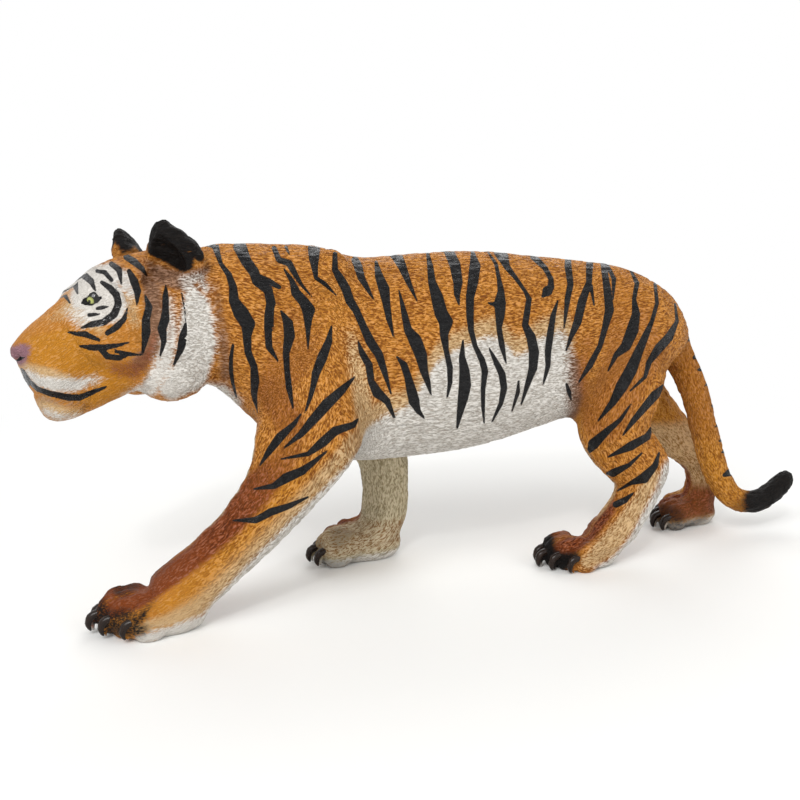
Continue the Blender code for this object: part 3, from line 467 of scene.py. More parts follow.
@dataclass(frozen=True)
class PhotoCamera:
    """The camera that took the photograph, and the one that the scene is seen through.

    The place is in metres; the heading turns from +Y towards +X, and the dip is below the horizon.
    """

    place: tuple[float, float, float] = (-0.1264, -0.3080, 0.1295)
    heading_deg: float = 19.0
    dip_deg: float = 11.9
    lens_mm: float = 45.0
    sensor_mm: float = 36.0
    frame_px: float = 800.0

    def axes(self) -> tuple[np.ndarray, np.ndarray, np.ndarray]:
        """The camera's right, up and ahead directions."""
        heading, dip = math.radians(self.heading_deg), math.radians(self.dip_deg)
        right = np.array((math.cos(heading), -math.sin(heading), 0.0))
        ahead = np.array((math.sin(heading) * math.cos(dip), math.cos(heading) * math.cos(dip),
                          -math.sin(dip)))
        return right, np.cross(right, ahead), ahead

    def focal_px(self) -> float:
        """The focal length in pixels of the frame."""
        return self.lens_mm / self.sensor_mm * self.frame_px

    def project(self, points: np.ndarray) -> tuple[np.ndarray, np.ndarray]:
        """Where points fall in the photograph.

        Args:
            points: places in metres, n by 3.

        Returns:
            Pixels across and down, n by 2, and how many pixels a millimetre takes at each point.
        """
        right, up, ahead = self.axes()
        off = points - np.array(self.place)
        depth = off @ ahead
        half = self.frame_px / 2
        across = half + self.focal_px() * (off @ right) / depth
        down = half - self.focal_px() * (off @ up) / depth
        return np.stack((across, down), axis=1), self.focal_px() * MM / depth

    def ray(self, across: float, down: float) -> Vector:
        """The direction from the camera through a pixel."""
        right, up, ahead = self.axes()
        half = self.frame_px / 2
        return Vector(ahead * self.focal_px() + right * (across - half) + up * (half - down)).normalized()

    def build(self) -> None:
        """Adds the camera and makes it the scene's."""
        deselect_all()
        turn = (math.radians(90 - self.dip_deg), 0.0, -math.radians(self.heading_deg))
        bpy.ops.object.camera_add(location=self.place, rotation=turn)
        camera = bpy.context.object
        camera.name = "photo_camera"
        camera.data.lens = self.lens_mm
        camera.data.sensor_width = self.sensor_mm
        camera.data.clip_start = 0.01
        bpy.context.scene.camera = camera


class BodyPath:
    """One middle line of the body: finds how far along and how far off it each point of the skin lies."""

    def __init__(self, rows: Rows) -> None:
        """Reads the rows of x, y, z and radius, in millimetres."""
        table = np.array(rows, dtype=float) * MM
        self.points, self.radii = table[:, :3], table[:, 3]
        steps = np.linalg.norm(np.diff(self.points, axis=0), axis=1)
        self.lengths = np.concatenate(([0.0], np.cumsum(steps)))
        inner = unit(self.points[2:] - self.points[:-2])
        ends = unit(self.points[[1, -1]] - self.points[[0, -2]])
        self.tangents = np.concatenate((ends[:1], inner, ends[1:]))

    def nearest(self, places: np.ndarray) -> tuple[np.ndarray, np.ndarray]:
        """The nearest spot of the line to each place.

        Args:
            places: points in metres, n by 3.

        Returns:
            The distance in radii of the body there, and the station: segment number plus share of it.
        """
        best = np.full(len(places), np.inf)
        station = np.zeros(len(places))
        for i in range(len(self.points) - 1):
            start, along = self.points[i], self.points[i + 1] - self.points[i]
            t = np.clip((places - start) @ along / (along @ along), 0, 1)
            gap = np.linalg.norm(places - start - t[:, None] * along, axis=1)
            gap /= self.radii[i] + (self.radii[i + 1] - self.radii[i]) * t
            closer = gap < best
            best[closer] = gap[closer]
            station[closer] = i + t[closer]
        return best, station

    def at(self, table: np.ndarray, station: np.ndarray) -> np.ndarray:
        """The value of one of this line's tables at each station."""
        low = np.clip(station.astype(int), 0, len(self.points) - 2)
        share = (station - low)[:, None] if table.ndim > 1 else station - low
        return table[low] * (1 - share) + table[low + 1] * share

    def frame_at(self, station: np.ndarray) -> tuple[np.ndarray, np.ndarray]:
        """The line's direction and the direction square to it and to Y, at each station."""
        tangent = unit(self.at(self.tangents, station))
        return tangent, unit(np.cross(tangent, np.array((0.0, 1.0, 0.0))))


@dataclass(frozen=True)
class HeadPlane:
    """The mirror plane of the head, which turns away from the trunk's at the neck. Lengths in metres."""

    pivot: tuple[float, float, float] = (-0.1035, 0.0, 0.0935)
    yaw_deg: float = 16.0
    pitch_deg: float = 20.0
    turn_from_x: float = -0.082
    turn_to_x: float = -0.100

    def axes(self) -> tuple[np.ndarray, np.ndarray, np.ndarray]:
        """The head's ahead, left and up directions."""
        yaw, pitch = math.radians(self.yaw_deg), math.radians(self.pitch_deg)
        level = np.array((-math.cos(pitch), 0.0, -math.sin(pitch)))
        left = np.array((0.0, -1.0, 0.0))
        ahead = level * math.cos(yaw) + left * math.sin(yaw)
        side = left * math.cos(yaw) - level * math.sin(yaw)
        return ahead, side, np.array((-math.sin(pitch), 0.0, math.cos(pitch)))

    def share(self, places: np.ndarray) -> np.ndarray:
        """How far each place belongs to the head: 0 on the trunk, 1 ahead of the neck."""
        return smoothstep(self.turn_from_x, self.turn_to_x, places[:, 0])

    def local(self, places: np.ndarray) -> np.ndarray:
        """Places in the head's own frame: ahead, left and up of its pivot, in millimetres."""
        return (places - np.array(self.pivot)) @ np.stack(self.axes(), axis=1) / MM

    def near_side(self, places: np.ndarray) -> tuple[np.ndarray, np.ndarray]:
        """Mirrors what lies on the right of the body over to its left.

        Args:
            places: points in metres, n by 3.

        Returns:
            The points on the left side, and each point's distance to the left of the plane.
        """
        share = self.share(places)[:, None]
        normal = unit(np.array((0.0, -1.0, 0.0)) * (1 - share) + self.axes()[1] * share)
        pivot = np.array((self.pivot[0], 0.0, self.pivot[2]))
        aside = np.sum((places - pivot) * normal, axis=1)
        return places - 2 * np.minimum(aside, 0)[:, None] * normal, aside


class Tracing:
    """Carries the photograph's traced pixels to the skin.

    Every point of the skin gets a pixel: its own on the near side, its mirror image's on the far side,
    and on the far legs that of the same spot of the near leg, which stands in another pose.
    """

    LEG_SHARPNESS = 6
    LEAST_GAP = 0.05
    LEG_TOP_M = (0.064, 0.050)
    LEG_SHARE = (0.5, 0.8)
    INNER_MM = (-1.5, 3.0)
    FAR_FRONT_MM = 3.0
    TAIL_STATIONS = (9.6, 10.4)
    FAR_PX = 60.0
    SEARCH_PX = 30.0

    def __init__(self, camera: PhotoCamera, head: HeadPlane, places: np.ndarray) -> None:
        """Finds each place's limb, direction of fur and pixel.

        Args:
            camera: the photograph's camera.
            head: the head's mirror plane.
            places: the skin's vertices in metres, n by 3.
        """
        self.places, self.head = places, head
        self.paths = {limb: BodyPath(rows) for limb, rows in PATHS.items()}
        closeness, self.stations = {}, {}
        for limb, path in self.paths.items():
            gap, self.stations[limb] = path.nearest(places)
            closeness[limb] = 1 / np.maximum(gap, self.LEAST_GAP) ** self.LEG_SHARPNESS
        total = sum(closeness.values())
        self.shares = {limb: value / total for limb, value in closeness.items()}
        near, self.aside = head.near_side(places)
        for limb, twin in TWIN.items():
            share = self.shares[limb][:, None]
            near = near * (1 - share) + self.moved_to_twin(limb, twin) * share
        self.pixels, self.px_per_mm = camera.project(near)

    def moved_to_twin(self, limb: Limb, twin: Limb) -> np.ndarray:
        """Moves every place from a far leg to the same spot of the near one.

        Args:
            limb: the leg that the places lie on.
            twin: the leg that they are moved to.

        Returns:
            The moved places, mirrored from right to left.
        """
        here, there, station = self.paths[limb], self.paths[twin], self.stations[limb]
        tangent, across = here.frame_at(station)
        off = self.places - here.at(here.points, station)
        new_tangent, new_across = there.frame_at(station)
        return (there.at(there.points, station)
                + np.sum(off * tangent, axis=1)[:, None] * new_tangent
                + np.sum(off * across, axis=1)[:, None] * new_across
                - off[:, 1:2] * np.array((0.0, 1.0, 0.0)))

    def leg_share(self) -> np.ndarray:
        """How far each place belongs to a leg."""
        return sum(self.shares[leg] for leg in LEGS)

    def inward_mm(self) -> np.ndarray:
        """How far each place lies to the inner side of its leg's middle, in millimetres."""
        depth = np.zeros(len(self.places))
        for leg in LEGS:
            middle = self.paths[leg].at(self.paths[leg].points, self.stations[leg])[:, 1]
            depth -= self.shares[leg] * (self.places[:, 1] - middle) * np.sign(middle)
        return depth / MM

    def inner_side(self) -> np.ndarray:
        """How far each place belongs to the inner side of a leg, below the trunk."""
        low = smoothstep(*self.LEG_TOP_M, self.places[:, 2])
        depth = self.inward_mm() + self.FAR_FRONT_MM * self.shares[Limb.RIGHT_FORE]
        return low * smoothstep(*self.LEG_SHARE, self.leg_share()) * smoothstep(*self.INNER_MM, depth)

    def tail_share(self) -> np.ndarray:
        """How far each place belongs to the tail."""
        return self.shares[Limb.SPINE] * smoothstep(*self.TAIL_STATIONS, self.stations[Limb.SPINE])

    def flow(self) -> np.ndarray:
        """The direction that the fur lies in at each place."""
        total = np.zeros_like(self.places)
        for limb, path in self.paths.items():
            total += self.shares[limb][:, None] * path.frame_at(self.stations[limb])[0]
        return unit(total)

    def grain(self) -> np.ndarray:
        """Coordinates in millimetres that run along the fur first, then across it."""
        spine = self.paths[Limb.SPINE]
        total = np.zeros_like(self.places)
        for limb, path in self.paths.items():
            station = self.stations[limb]
            tangent, across = path.frame_at(station)
            off = self.places - path.at(path.points, station)
            start = 0.0
            if limb in LEGS:
                start = float(spine.lengths[spine.nearest(path.points[:1])[1].astype(int)][0])
            along = path.at(path.lengths, station) + start + np.sum(off * tangent, axis=1)
            spot = np.stack((along, off[:, 1], np.sum(off * across, axis=1)), axis=1)
            total += self.shares[limb][:, None] * spot
        return total / MM

    def distance_px(self, rows: Rows) -> tuple[np.ndarray, np.ndarray]:
        """The signed distance in pixels from every place to a traced stroke.

        Args:
            rows: pixel across, pixel down and half width, and any further values.

        Returns:
            The distance, negative inside the stroke, and the last column's value at the nearest spot.
        """
        table = np.array(rows, dtype=float)
        best = np.full(len(self.pixels), self.FAR_PX)
        value = np.zeros(len(self.pixels))
        reach = self.SEARCH_PX + table[:, 2].max()
        low, high = table[:, :2].min(axis=0) - reach, table[:, :2].max(axis=0) + reach
        near = np.flatnonzero(np.all((self.pixels > low) & (self.pixels < high), axis=1))
        spots = self.pixels[near]
        for first, second in zip(table, table[1:]):
            step = second[:2] - first[:2]
            t = np.clip((spots - first[:2]) @ step / (step @ step), 0, 1)
            gap = np.linalg.norm(spots - first[:2] - t[:, None] * step, axis=1)
            gap -= first[2] + (second[2] - first[2]) * t
            closer = gap < best[near]
            best[near[closer]] = gap[closer]
            value[near[closer]] = (first[-1] + (second[-1] - first[-1]) * t)[closer]
        return best, value


class CoatPainter:
    """Works out the stripes and the fields of colour for every vertex of the skin."""

    INNER_FADE = 1.1
    INNER_START_MM = 0.5
    FAR_AWAY_MM = 12.0
    GROUP_EDGE = (0.6, 0.4)
    FLANK_END = (0.7, 0.9)
    INNER_TOP_M = (0.066, 0.052)
    UNDERSIDE_TOP_M = (0.068, 0.058)
    UNDERSIDE_HALF_M = (0.017, 0.011)
    BELLY_FRONT_PX = (338, 356)
    BELLY_REAR_PX = (586, 560)
    BELLY_FADE_PX = (548, 584)
    BELLY_EDGE_PX = (-6, 14)
    TRUNK_SHARE = (0.45, 0.7)
    BELLY_TOP_M = (0.060, 0.048)
    CHEST_M = (-0.075, -0.060)
    FACE_MM = (-2, 10)
    EAR_FOOT_MM = (4, 7)
    EAR_SLOPE = 0.38
    EAR_ASIDE_MM = 17
    EAR_REAR_MM = (-20, -16.5)
    EAR_EDGE_PX = (2, -3)
    LINING_MIDDLE_MM = 9.5
    LINING_HALF_MM = (4.5, 2.0)
    LINING_TOP_MM = (19, 15)
    LINING_FACING = (0.3, 0.6)
    FORE_SHARE = (0.4, 0.6)
    PAW_TOP_MM = (20, 13)
    NEAR_PAW_TOP_MM = (36, 16)
    SOLE_MM = (2, 6)
    SOLE_EDGE_MM = (5, 2)
    OCHRE_MM = (38, 50)
    HIND_CREAM_MM = (52, 38)
    TAIL_ROOT_STATIONS = (15.5, 13.5)
    TAIL_GOLD = 0.5
    TAIL_RUST = 0.3

    def __init__(self, tracing: Tracing, normals: np.ndarray) -> None:
        """Keeps the tracing that places everything, and the skin's normals."""
        self.tracing, self.normals = tracing, normals

    def strokes(self, group: dict[str, Rows]) -> np.ndarray:
        """The distance in millimetres to the nearest stroke of a group, negative inside."""
        best = np.full(len(self.tracing.places), np.inf)
        for rows in group.values():
            best = np.minimum(best, self.tracing.distance_px(rows)[0])
        return best / self.tracing.px_per_mm

    def stripe_distance(self) -> np.ndarray:
        """The distance to the nearest stripe that belongs to each place's part of the body, in mm."""
        tracing = self.tracing
        head = tracing.head.share(tracing.places)
        fore = tracing.shares[Limb.LEFT_FORE] + tracing.shares[Limb.RIGHT_FORE]
        tail = tracing.tail_share()
        groups = (
            (FACE, head),
            (NECK_AND_SHOULDER, 1 - head),
            (FORELEG, 1 - head),
            (FLANK, (1 - head) * (1 - tail) * (1 - smoothstep(*self.FLANK_END, fore))),
            (HAUNCH_AND_HOCK, (1 - head) * (1 - tail)),
            (TAIL_BARS, tail),
        )
        best = np.full(len(tracing.places), self.FAR_AWAY_MM)
        for group, share in groups:
            away = self.FAR_AWAY_MM * smoothstep(*self.GROUP_EDGE, share)
            best = np.minimum(best, self.strokes(group) + away)
        height = tracing.places[:, 2]
        under = smoothstep(*self.UNDERSIDE_TOP_M, height) * tracing.shares[Limb.SPINE] * (1 - tail)
        under *= smoothstep(*self.UNDERSIDE_HALF_M, np.abs(tracing.places[:, 1])) * (1 - head)
        best += self.FAR_AWAY_MM * under
        low_leg = smoothstep(*tracing.LEG_SHARE, tracing.leg_share()) * smoothstep(*self.INNER_TOP_M, height)
        return best + low_leg * self.INNER_FADE * np.maximum(tracing.inward_mm() + self.INNER_START_MM, 0)

    def belly(self) -> tuple[np.ndarray, np.ndarray]:
        """The white of the belly, and the cream between it and the orange."""
        tracing = self.tracing
        edge = np.array(BELLY_EDGE, dtype=float)
        across, down = tracing.pixels.T
        below = down - np.interp(across, edge[:, 0], edge[:, 1])
        inside = smoothstep(*self.BELLY_FRONT_PX, across) * smoothstep(*self.BELLY_REAR_PX, across)
        trunk = smoothstep(*self.TRUNK_SHARE, tracing.shares[Limb.SPINE]) * (1 - tracing.tail_share())
        trunk *= 1 - tracing.head.share(tracing.places)
        cream = smoothstep(-CREAM_ABOVE_BELLY_PX, -2, below) * inside
        under = (smoothstep(*self.BELLY_TOP_M, tracing.places[:, 2])
                 * smoothstep(*self.CHEST_M, tracing.places[:, 0]))
        white = np.maximum(smoothstep(*self.BELLY_EDGE_PX, below) * inside, under)
        white *= 1 - 0.8 * smoothstep(*self.BELLY_FADE_PX, across)
        return trunk * white, 0.9 * trunk * cream

    def calm_face(self) -> np.ndarray:
        """Where the painted shade and highlight of the fur strokes ease off: on the face, ahead of the ruff.
        """
        local = self.tracing.head.local(self.tracing.places)
        return self.tracing.head.share(self.tracing.places) * smoothstep(*self.FACE_MM, local[:, 0])

    def ears(self) -> np.ndarray:
        """The black of both ears."""
        local = self.tracing.head.local(self.tracing.places)
        slope = self.EAR_SLOPE * (np.abs(local[:, 1]) - self.EAR_ASIDE_MM)
        raised = smoothstep(*self.EAR_FOOT_MM, local[:, 2] + slope)
        raised *= smoothstep(*self.EAR_REAR_MM, local[:, 0])
        gap = self.strokes(EAR) * self.tracing.px_per_mm
        return raised * smoothstep(*self.EAR_EDGE_PX, gap) * (1 - 0.8 * self.ear_lining())

    def ear_lining(self) -> np.ndarray:
        """The light streak on the side of each ear that faces the other one."""
        local = self.tracing.head.local(self.tracing.places)
        inward = -np.sign(local[:, 1]) * (self.normals @ self.tracing.head.axes()[1])
        middle = smoothstep(*self.LINING_HALF_MM, np.abs(local[:, 0] + self.LINING_MIDDLE_MM))
        return smoothstep(*self.LINING_FACING, inward) * middle * smoothstep(*self.LINING_TOP_MM, local[:, 2])

    def zone(self, zone: Zone) -> np.ndarray:
        """How strongly each place wears one field of colour, from 0 to 1."""
        tracing = self.tracing
        total = np.zeros(len(tracing.places))
        for kind, rows in FIELDS.values():
            if kind is zone:
                gap, strength = tracing.distance_px(rows)
                total = np.maximum(total, strength * smoothstep(FIELD_EDGE_PX, -FIELD_EDGE_PX, gap))
        if zone is Zone.PALE:
            total = np.maximum(total, self.belly()[0])
        if zone is Zone.CREAM:
            total = np.maximum(total, self.belly()[1])
        if zone is Zone.GOLD:
            total = np.maximum(total, self.TAIL_GOLD * tracing.tail_share())
        if zone is Zone.RUST:
            root = smoothstep(*self.TAIL_ROOT_STATIONS, tracing.stations[Limb.SPINE])
            total = np.maximum(total, self.TAIL_RUST * tracing.tail_share() * root)
        inner = tracing.inner_side()
        if zone is Zone.DARK:
            far = tracing.shares[Limb.RIGHT_FORE] + tracing.shares[Limb.RIGHT_HIND]
            return np.maximum(total * (1 - 0.5 * inner * far), self.ears())
        return np.maximum(total * (1 - inner), inner * self.inner_field(zone))

    def inner_field(self, zone: Zone) -> np.ndarray:
        """The colours of the legs' inner sides: greyed pale in front, which is painted shade, ochre and cream
        behind, and brown insteps of painted shade.
        """
        tracing = self.tracing
        height = tracing.places[:, 2] / MM
        fore = tracing.shares[Limb.LEFT_FORE] + tracing.shares[Limb.RIGHT_FORE]
        fore = smoothstep(*self.FORE_SHARE, fore)
        paw = smoothstep(*self.PAW_TOP_MM, height) * smoothstep(*self.SOLE_MM, height)
        near_paw = tracing.shares[Limb.LEFT_FORE] * smoothstep(*self.NEAR_PAW_TOP_MM, height)
        # the pale of the front legs' inner sides, greyed as painted shade
        if zone is Zone.PALE_IN_SHADE:
            return fore * (1 - 0.5 * paw) * (1 - near_paw)
        if zone is Zone.GOLD:
            return (1 - fore) * smoothstep(*self.OCHRE_MM, height) + 0.5 * fore * paw
        # brown insteps: painted shade
        if zone is Zone.PAINTED_SHADE:
            return 0.4 * fore * paw
        if zone is Zone.CREAM:
            return (1 - fore) * smoothstep(*self.HIND_CREAM_MM, height) * (1 - 0.6 * paw)
        if zone is Zone.RUST:
            return np.maximum(0.6 * (1 - fore) * paw, near_paw)
        if zone is Zone.PALE:
            return 0.7 * smoothstep(*self.SOLE_EDGE_MM, height)
        return np.zeros(len(height))


@dataclass(frozen=True)
class Paint:
    """One paint of the coat: its crest colour, lighter as painted highlight, and its groove colour, darker as
    painted shade.
    """

    crest: str
    groove: str


@dataclass(frozen=True)
class PaintedCoat:
    """Satin paint on soft vinyl moulded with fur strokes: orange, sprayed fields, glossy black stripes, with
    painted shade in the fur's grooves and painted highlight on its crests.
    """

    # Each paint: crest colour with painted highlight, groove colour with painted shade
    orange: Paint = Paint("#CE8932", "#733F11")
    cream: Paint = Paint("#D6B484", "#8E673B")
    gold: Paint = Paint("#C88724", "#8A5213")
    # painted shade: greyish brown for creases and the inner paws
    umber: Paint = Paint("#977054", "#573A28")
    rust: Paint = Paint("#8C4416", "#431A06")
    # the inner sides' pale, greyed as painted shade
    pale_in_shade: Paint = Paint("#CBBD9E", "#8D7F60")
    pale: Paint = Paint("#E0DCD5", "#A49C92")
    pink: Paint = Paint("#9A737C", "#5A3A40")
    dark: Paint = Paint("#120D0A", "#070505")
    ink: str = "#080708"
    strand_width_mm: float = 0.44
    strand_length_mm: float = 1.5
    strand_depth_mm: float = 0.22
    cloud_mm: float = 9.0
    cloud_strength: float = 0.5
    groove_noise: Span = (0.35, 0.62)
    broken_edge: float = 0.30
    field_edge: Span = (0.22, 0.92)
    # How far the painted shade and highlight of the fur strokes ease off on the face
    face_calm: float = 0.7
    face_tone: float = 0.72
    bump: float = 0.9
    stripe_waver_mm: float = -0.12
    stripe_edge_mm: float = 0.10
    coat_roughness: float = 0.52
    ink_roughness: float = 0.20
    coat_shine: float = 0.13
    ink_shine: float = 0.24

    def build(self) -> bpy.types.Material:
        """Makes the material.

        Returns:
            The finished material.
        """
        made = bpy.data.materials.new("painted_moulded_vinyl_coat")
        made.use_nodes = True
        tree = made.node_tree
        shader = tree.nodes["Principled BSDF"]
        grain = add_node(tree, "ShaderNodeAttribute", {"attribute_name": "grain"}).outputs["Vector"]
        strand = self.strands(tree, grain)
        ink = self.stripe_mask(tree, strand)
        colour = mix_colours(tree, ink, self.coat_colour(tree, strand), hex_colour(self.ink))
        tree.links.new(colour, shader.inputs["Base Color"])
        shine = spread(tree, ink, self.coat_shine, self.ink_shine)
        rough = spread(tree, ink, self.coat_roughness, self.ink_roughness)
        tree.links.new(shine, shader.inputs["Specular IOR Level"])
        tree.links.new(rough, shader.inputs["Roughness"])
        bump = add_node(tree, "ShaderNodeBump", None, {
            "Height": strand, "Distance": self.strand_depth_mm * MM, "Strength": self.bump})
        tree.links.new(bump.outputs["Normal"], shader.inputs["Normal"])
        return made

    def strands(self, tree: Tree, grain: Socket) -> Socket:
        """Strokes of fur: noise drawn out along the grain, with sharp grooves between round crests."""
        size = (self.strand_length_mm, self.strand_width_mm, self.strand_width_mm)
        stretch = add_node(tree, "ShaderNodeMapping", {"vector_type": "TEXTURE"},
                           {"Vector": grain, "Scale": size})
        noise = add_node(tree, "ShaderNodeTexNoise", None,
                         {"Vector": stretch.outputs["Vector"], "Scale": 1.0, "Detail": 2.5,
                          "Roughness": 0.55, "Distortion": 0.5})
        return ease(tree, noise.outputs["Fac"], *self.groove_noise)

    def mask(self, tree: Tree, value: Socket, strand: Socket) -> Socket:
        """Breaks a field's edge up along the strands, as paint brushed over relief does."""
        broken = calculate(tree, "MULTIPLY_ADD", strand, self.broken_edge, value)
        return ease(tree, broken, *self.field_edge)

    def field(self, tree: Tree, name: str) -> bpy.types.Node:
        """Splits one of the skin's stored vectors into its three fields."""
        stored = add_node(tree, "ShaderNodeAttribute", {"attribute_name": name})
        return add_node(tree, "ShaderNodeSeparateXYZ", None, {0: stored.outputs["Vector"]})

    def coat_colour(self, tree: Tree, strand: Socket) -> Socket:
        """Lays the fields over the orange, each with painted shade in the grooves and painted highlight on
        the crests.
        """
        one, two, three = (self.field(tree, name) for name in FIELD_LAYERS)
        spot = add_node(tree, "ShaderNodeTexCoord").outputs["Object"]
        cloud = add_node(tree, "ShaderNodeTexNoise", None,
                         {"Vector": spot, "Scale": 1 / (self.cloud_mm * MM), "Detail": 3.0})
        tone = calculate(tree, "MULTIPLY_ADD", cloud.outputs["Fac"], self.cloud_strength,
                         -self.cloud_strength / 2)
        # Share of crest colour: painted shade in the grooves, painted highlight on the crests, and a random
        # tone
        groove = calculate(tree, "ADD", strand, tone)
        calm = spread(tree, three.outputs[2], 0.0, self.face_calm)
        groove = add_node(tree, "ShaderNodeMix", None, {0: calm, 2: groove, 3: self.face_tone}).outputs[0]
        layers = (
            (three.outputs[1], self.cream), (one.outputs[2], self.gold), (three.outputs[0], self.umber),
            (one.outputs[1], self.rust), (two.outputs[2], self.pale_in_shade), (one.outputs[0], self.pale),
            (two.outputs[1], self.pink), (two.outputs[0], self.dark),
        )
        coat = self.coat_of(tree, groove, self.orange)
        for value, paint in layers:
            coat = mix_colours(tree, self.mask(tree, value, strand), coat, self.coat_of(tree, groove, paint))
        return coat

    def coat_of(self, tree: Tree, groove: Socket,
                paint: Paint) -> Socket:
        """One paint, darker in the grooves as painted shade and lighter on the crests as painted highlight.
        """
        return mix_colours(tree, groove, hex_colour(paint.groove), hex_colour(paint.crest))

    def stripe_mask(self, tree: Tree, strand: Socket) -> Socket:
        """The stripes: inside their traced edge, which wavers a little over the relief."""
        distance = add_node(tree, "ShaderNodeAttribute", {"attribute_name": "stripe"}).outputs["Fac"]
        waver = calculate(tree, "MULTIPLY_ADD", strand, self.stripe_waver_mm, distance)
        return ease(tree, waver, self.stripe_edge_mm, -self.stripe_edge_mm)


@dataclass
class MouldedSkin:
    """The figure's skin, with the fur strokes in its shape. Lengths in millimetres."""

    camera: PhotoCamera
    head: HeadPlane
    voxel: float = 0.52
    quick_voxel: float = 1.0
    triangles: int = 190_000
    stroke_depth: float = 0.55
    stroke_rounds: int = 6
    stroke_sharpness: float = 1.6
    along_fur: float = 1.5
    across_fur_power: int = 4
    face_front: Span = (0, 14)
    tip_height: Span = (4, 1)
    fine_band: float = 0.5
    seed: int = 7

    def build(self) -> Piece:
        """Builds, carves and paints the skin.

        Returns:
            The finished skin.
        """
        skin = self.copy_of_solid()
        self.fill_out(skin)
        self.carve_fur(skin)
        self.thin(skin)
        self.rest_flat(skin)
        choose(skin)
        bpy.ops.object.shade_smooth()
        self.paint(skin)
        skin.data.materials.clear()
        skin.data.materials.append(PaintedCoat().build())
        LOG.info("skin: %d triangles", sum(len(p.vertices) - 2 for p in skin.data.polygons))
        return skin

    def copy_of_solid(self) -> Piece:
        """A copy of the solid, merged and given an even fine mesh."""
        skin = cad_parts[NODE].copy()
        skin.data = skin.data.copy()
        skin.name = "tiger_skin"
        bpy.context.scene.collection.objects.link(skin)
        choose(skin)
        bpy.ops.object.mode_set(mode="EDIT")
        bpy.ops.mesh.select_all(action="SELECT")
        bpy.ops.mesh.remove_doubles(threshold=1e-6)
        bpy.ops.object.mode_set(mode="OBJECT")
        voxel = self.voxel
        apply_modifier(skin, "even", "REMESH", {"mode": "VOXEL", "voxel_size": voxel * MM})
        apply_modifier(skin, "ease", "SMOOTH", {"factor": 0.5, "iterations": 2})
        return skin

    def fill_out(self, skin: Piece) -> None:
        """Pushes the skin out where the photographed figure is fuller than the solid."""
        places = vertex_places(skin.data)
        for row in SWELLS:
            gap = np.linalg.norm(places - np.array(row[:3]) * MM, axis=1)
            places += smoothstep(row[3] * MM, 0, gap)[:, None] * np.array(row[4:]) * MM
        skin.data.vertices.foreach_set("co", places.ravel())
        skin.data.update()

    def carve_fur(self, skin: Piece) -> None:
        """Presses grooves into the skin that follow the fur.

        Args:
            skin: the even, fine skin.
        """
        mesh = skin.data
        places, normals = vertex_places(mesh), vertex_normals(mesh)
        tracing = Tracing(self.camera, self.head, places)
        flow = tracing.flow()
        flow = unit(flow - np.sum(flow * normals, axis=1)[:, None] * normals)
        edges = np.empty(len(mesh.edges) * 2, dtype=int)
        mesh.edges.foreach_get("vertices", edges)
        first, second = edges.reshape(-1, 2).T
        step = unit(places[second] - places[first])
        count = len(places)
        height = np.random.default_rng(self.seed).standard_normal(count)

        def blended(values: np.ndarray, weight_first: np.ndarray, weight_second: np.ndarray) -> np.ndarray:
            """Averages each vertex with its neighbours by the given weights."""
            total = values + np.bincount(first, weight_first * values[second], count)
            total += np.bincount(second, weight_second * values[first], count)
            weight = 1 + np.bincount(first, weight_first, count) + np.bincount(second, weight_second, count)
            return total / weight

        even = np.full(len(first), 0.5)
        height = blended(height, even, even)
        weight_first, weight_second = (
            np.sum(step * flow[end], axis=1) ** self.across_fur_power * self.along_fur
            for end in (first, second))
        for _ in range(self.stroke_rounds):
            height = blended(height, weight_first, weight_second)
        height /= height.std()
        press = self.stroke_depth * MM * (1 / (1 + np.exp(-self.stroke_sharpness * height)) - 1)
        places += normals * (press * self.relief_share(tracing))[:, None]
        mesh.vertices.foreach_set("co", places.ravel())
        mesh.update()

    def relief_share(self, tracing: Tracing) -> np.ndarray:
        """How deep the strokes are on each part: shallow on the face, soles and toes."""
        local = tracing.head.local(tracing.places)
        face = tracing.head.share(tracing.places) * smoothstep(*self.face_front, local[:, 0])
        tips = smoothstep(*self.tip_height, tracing.places[:, 2] / MM)
        return (1 - 0.7 * face) * (1 - 0.8 * tips)

    def thin(self, skin: Piece) -> None:
        """Brings the skin under the limit on triangles, and keeps it fine along the edge of every stripe.

        Args:
            skin: the carved skin.
        """
        mesh = skin.data
        count = sum(len(p.vertices) - 2 for p in mesh.polygons)
        if count <= self.triangles:
            return
        tracing = Tracing(self.camera, self.head, vertex_places(mesh))
        painter = CoatPainter(tracing, vertex_normals(mesh))
        free = np.flatnonzero(np.abs(painter.stripe_distance()) > self.fine_band)
        LOG.info("thinning %d triangles, %d of %d vertices free", count, len(free), len(mesh.vertices))
        group = skin.vertex_groups.new(name="free")
        group.add(free.tolist(), 1.0, "REPLACE")
        apply_modifier(skin, "thin", "DECIMATE", {
            "ratio": self.triangles / count, "vertex_group": "free", "vertex_group_factor": 1.0})
        skin.vertex_groups.clear()

    def rest_flat(self, skin: Piece) -> None:
        """Keeps the soles on the ground."""
        places = vertex_places(skin.data)
        places[:, 2] = np.maximum(places[:, 2], 0)
        skin.data.vertices.foreach_set("co", places.ravel())
        skin.data.update()

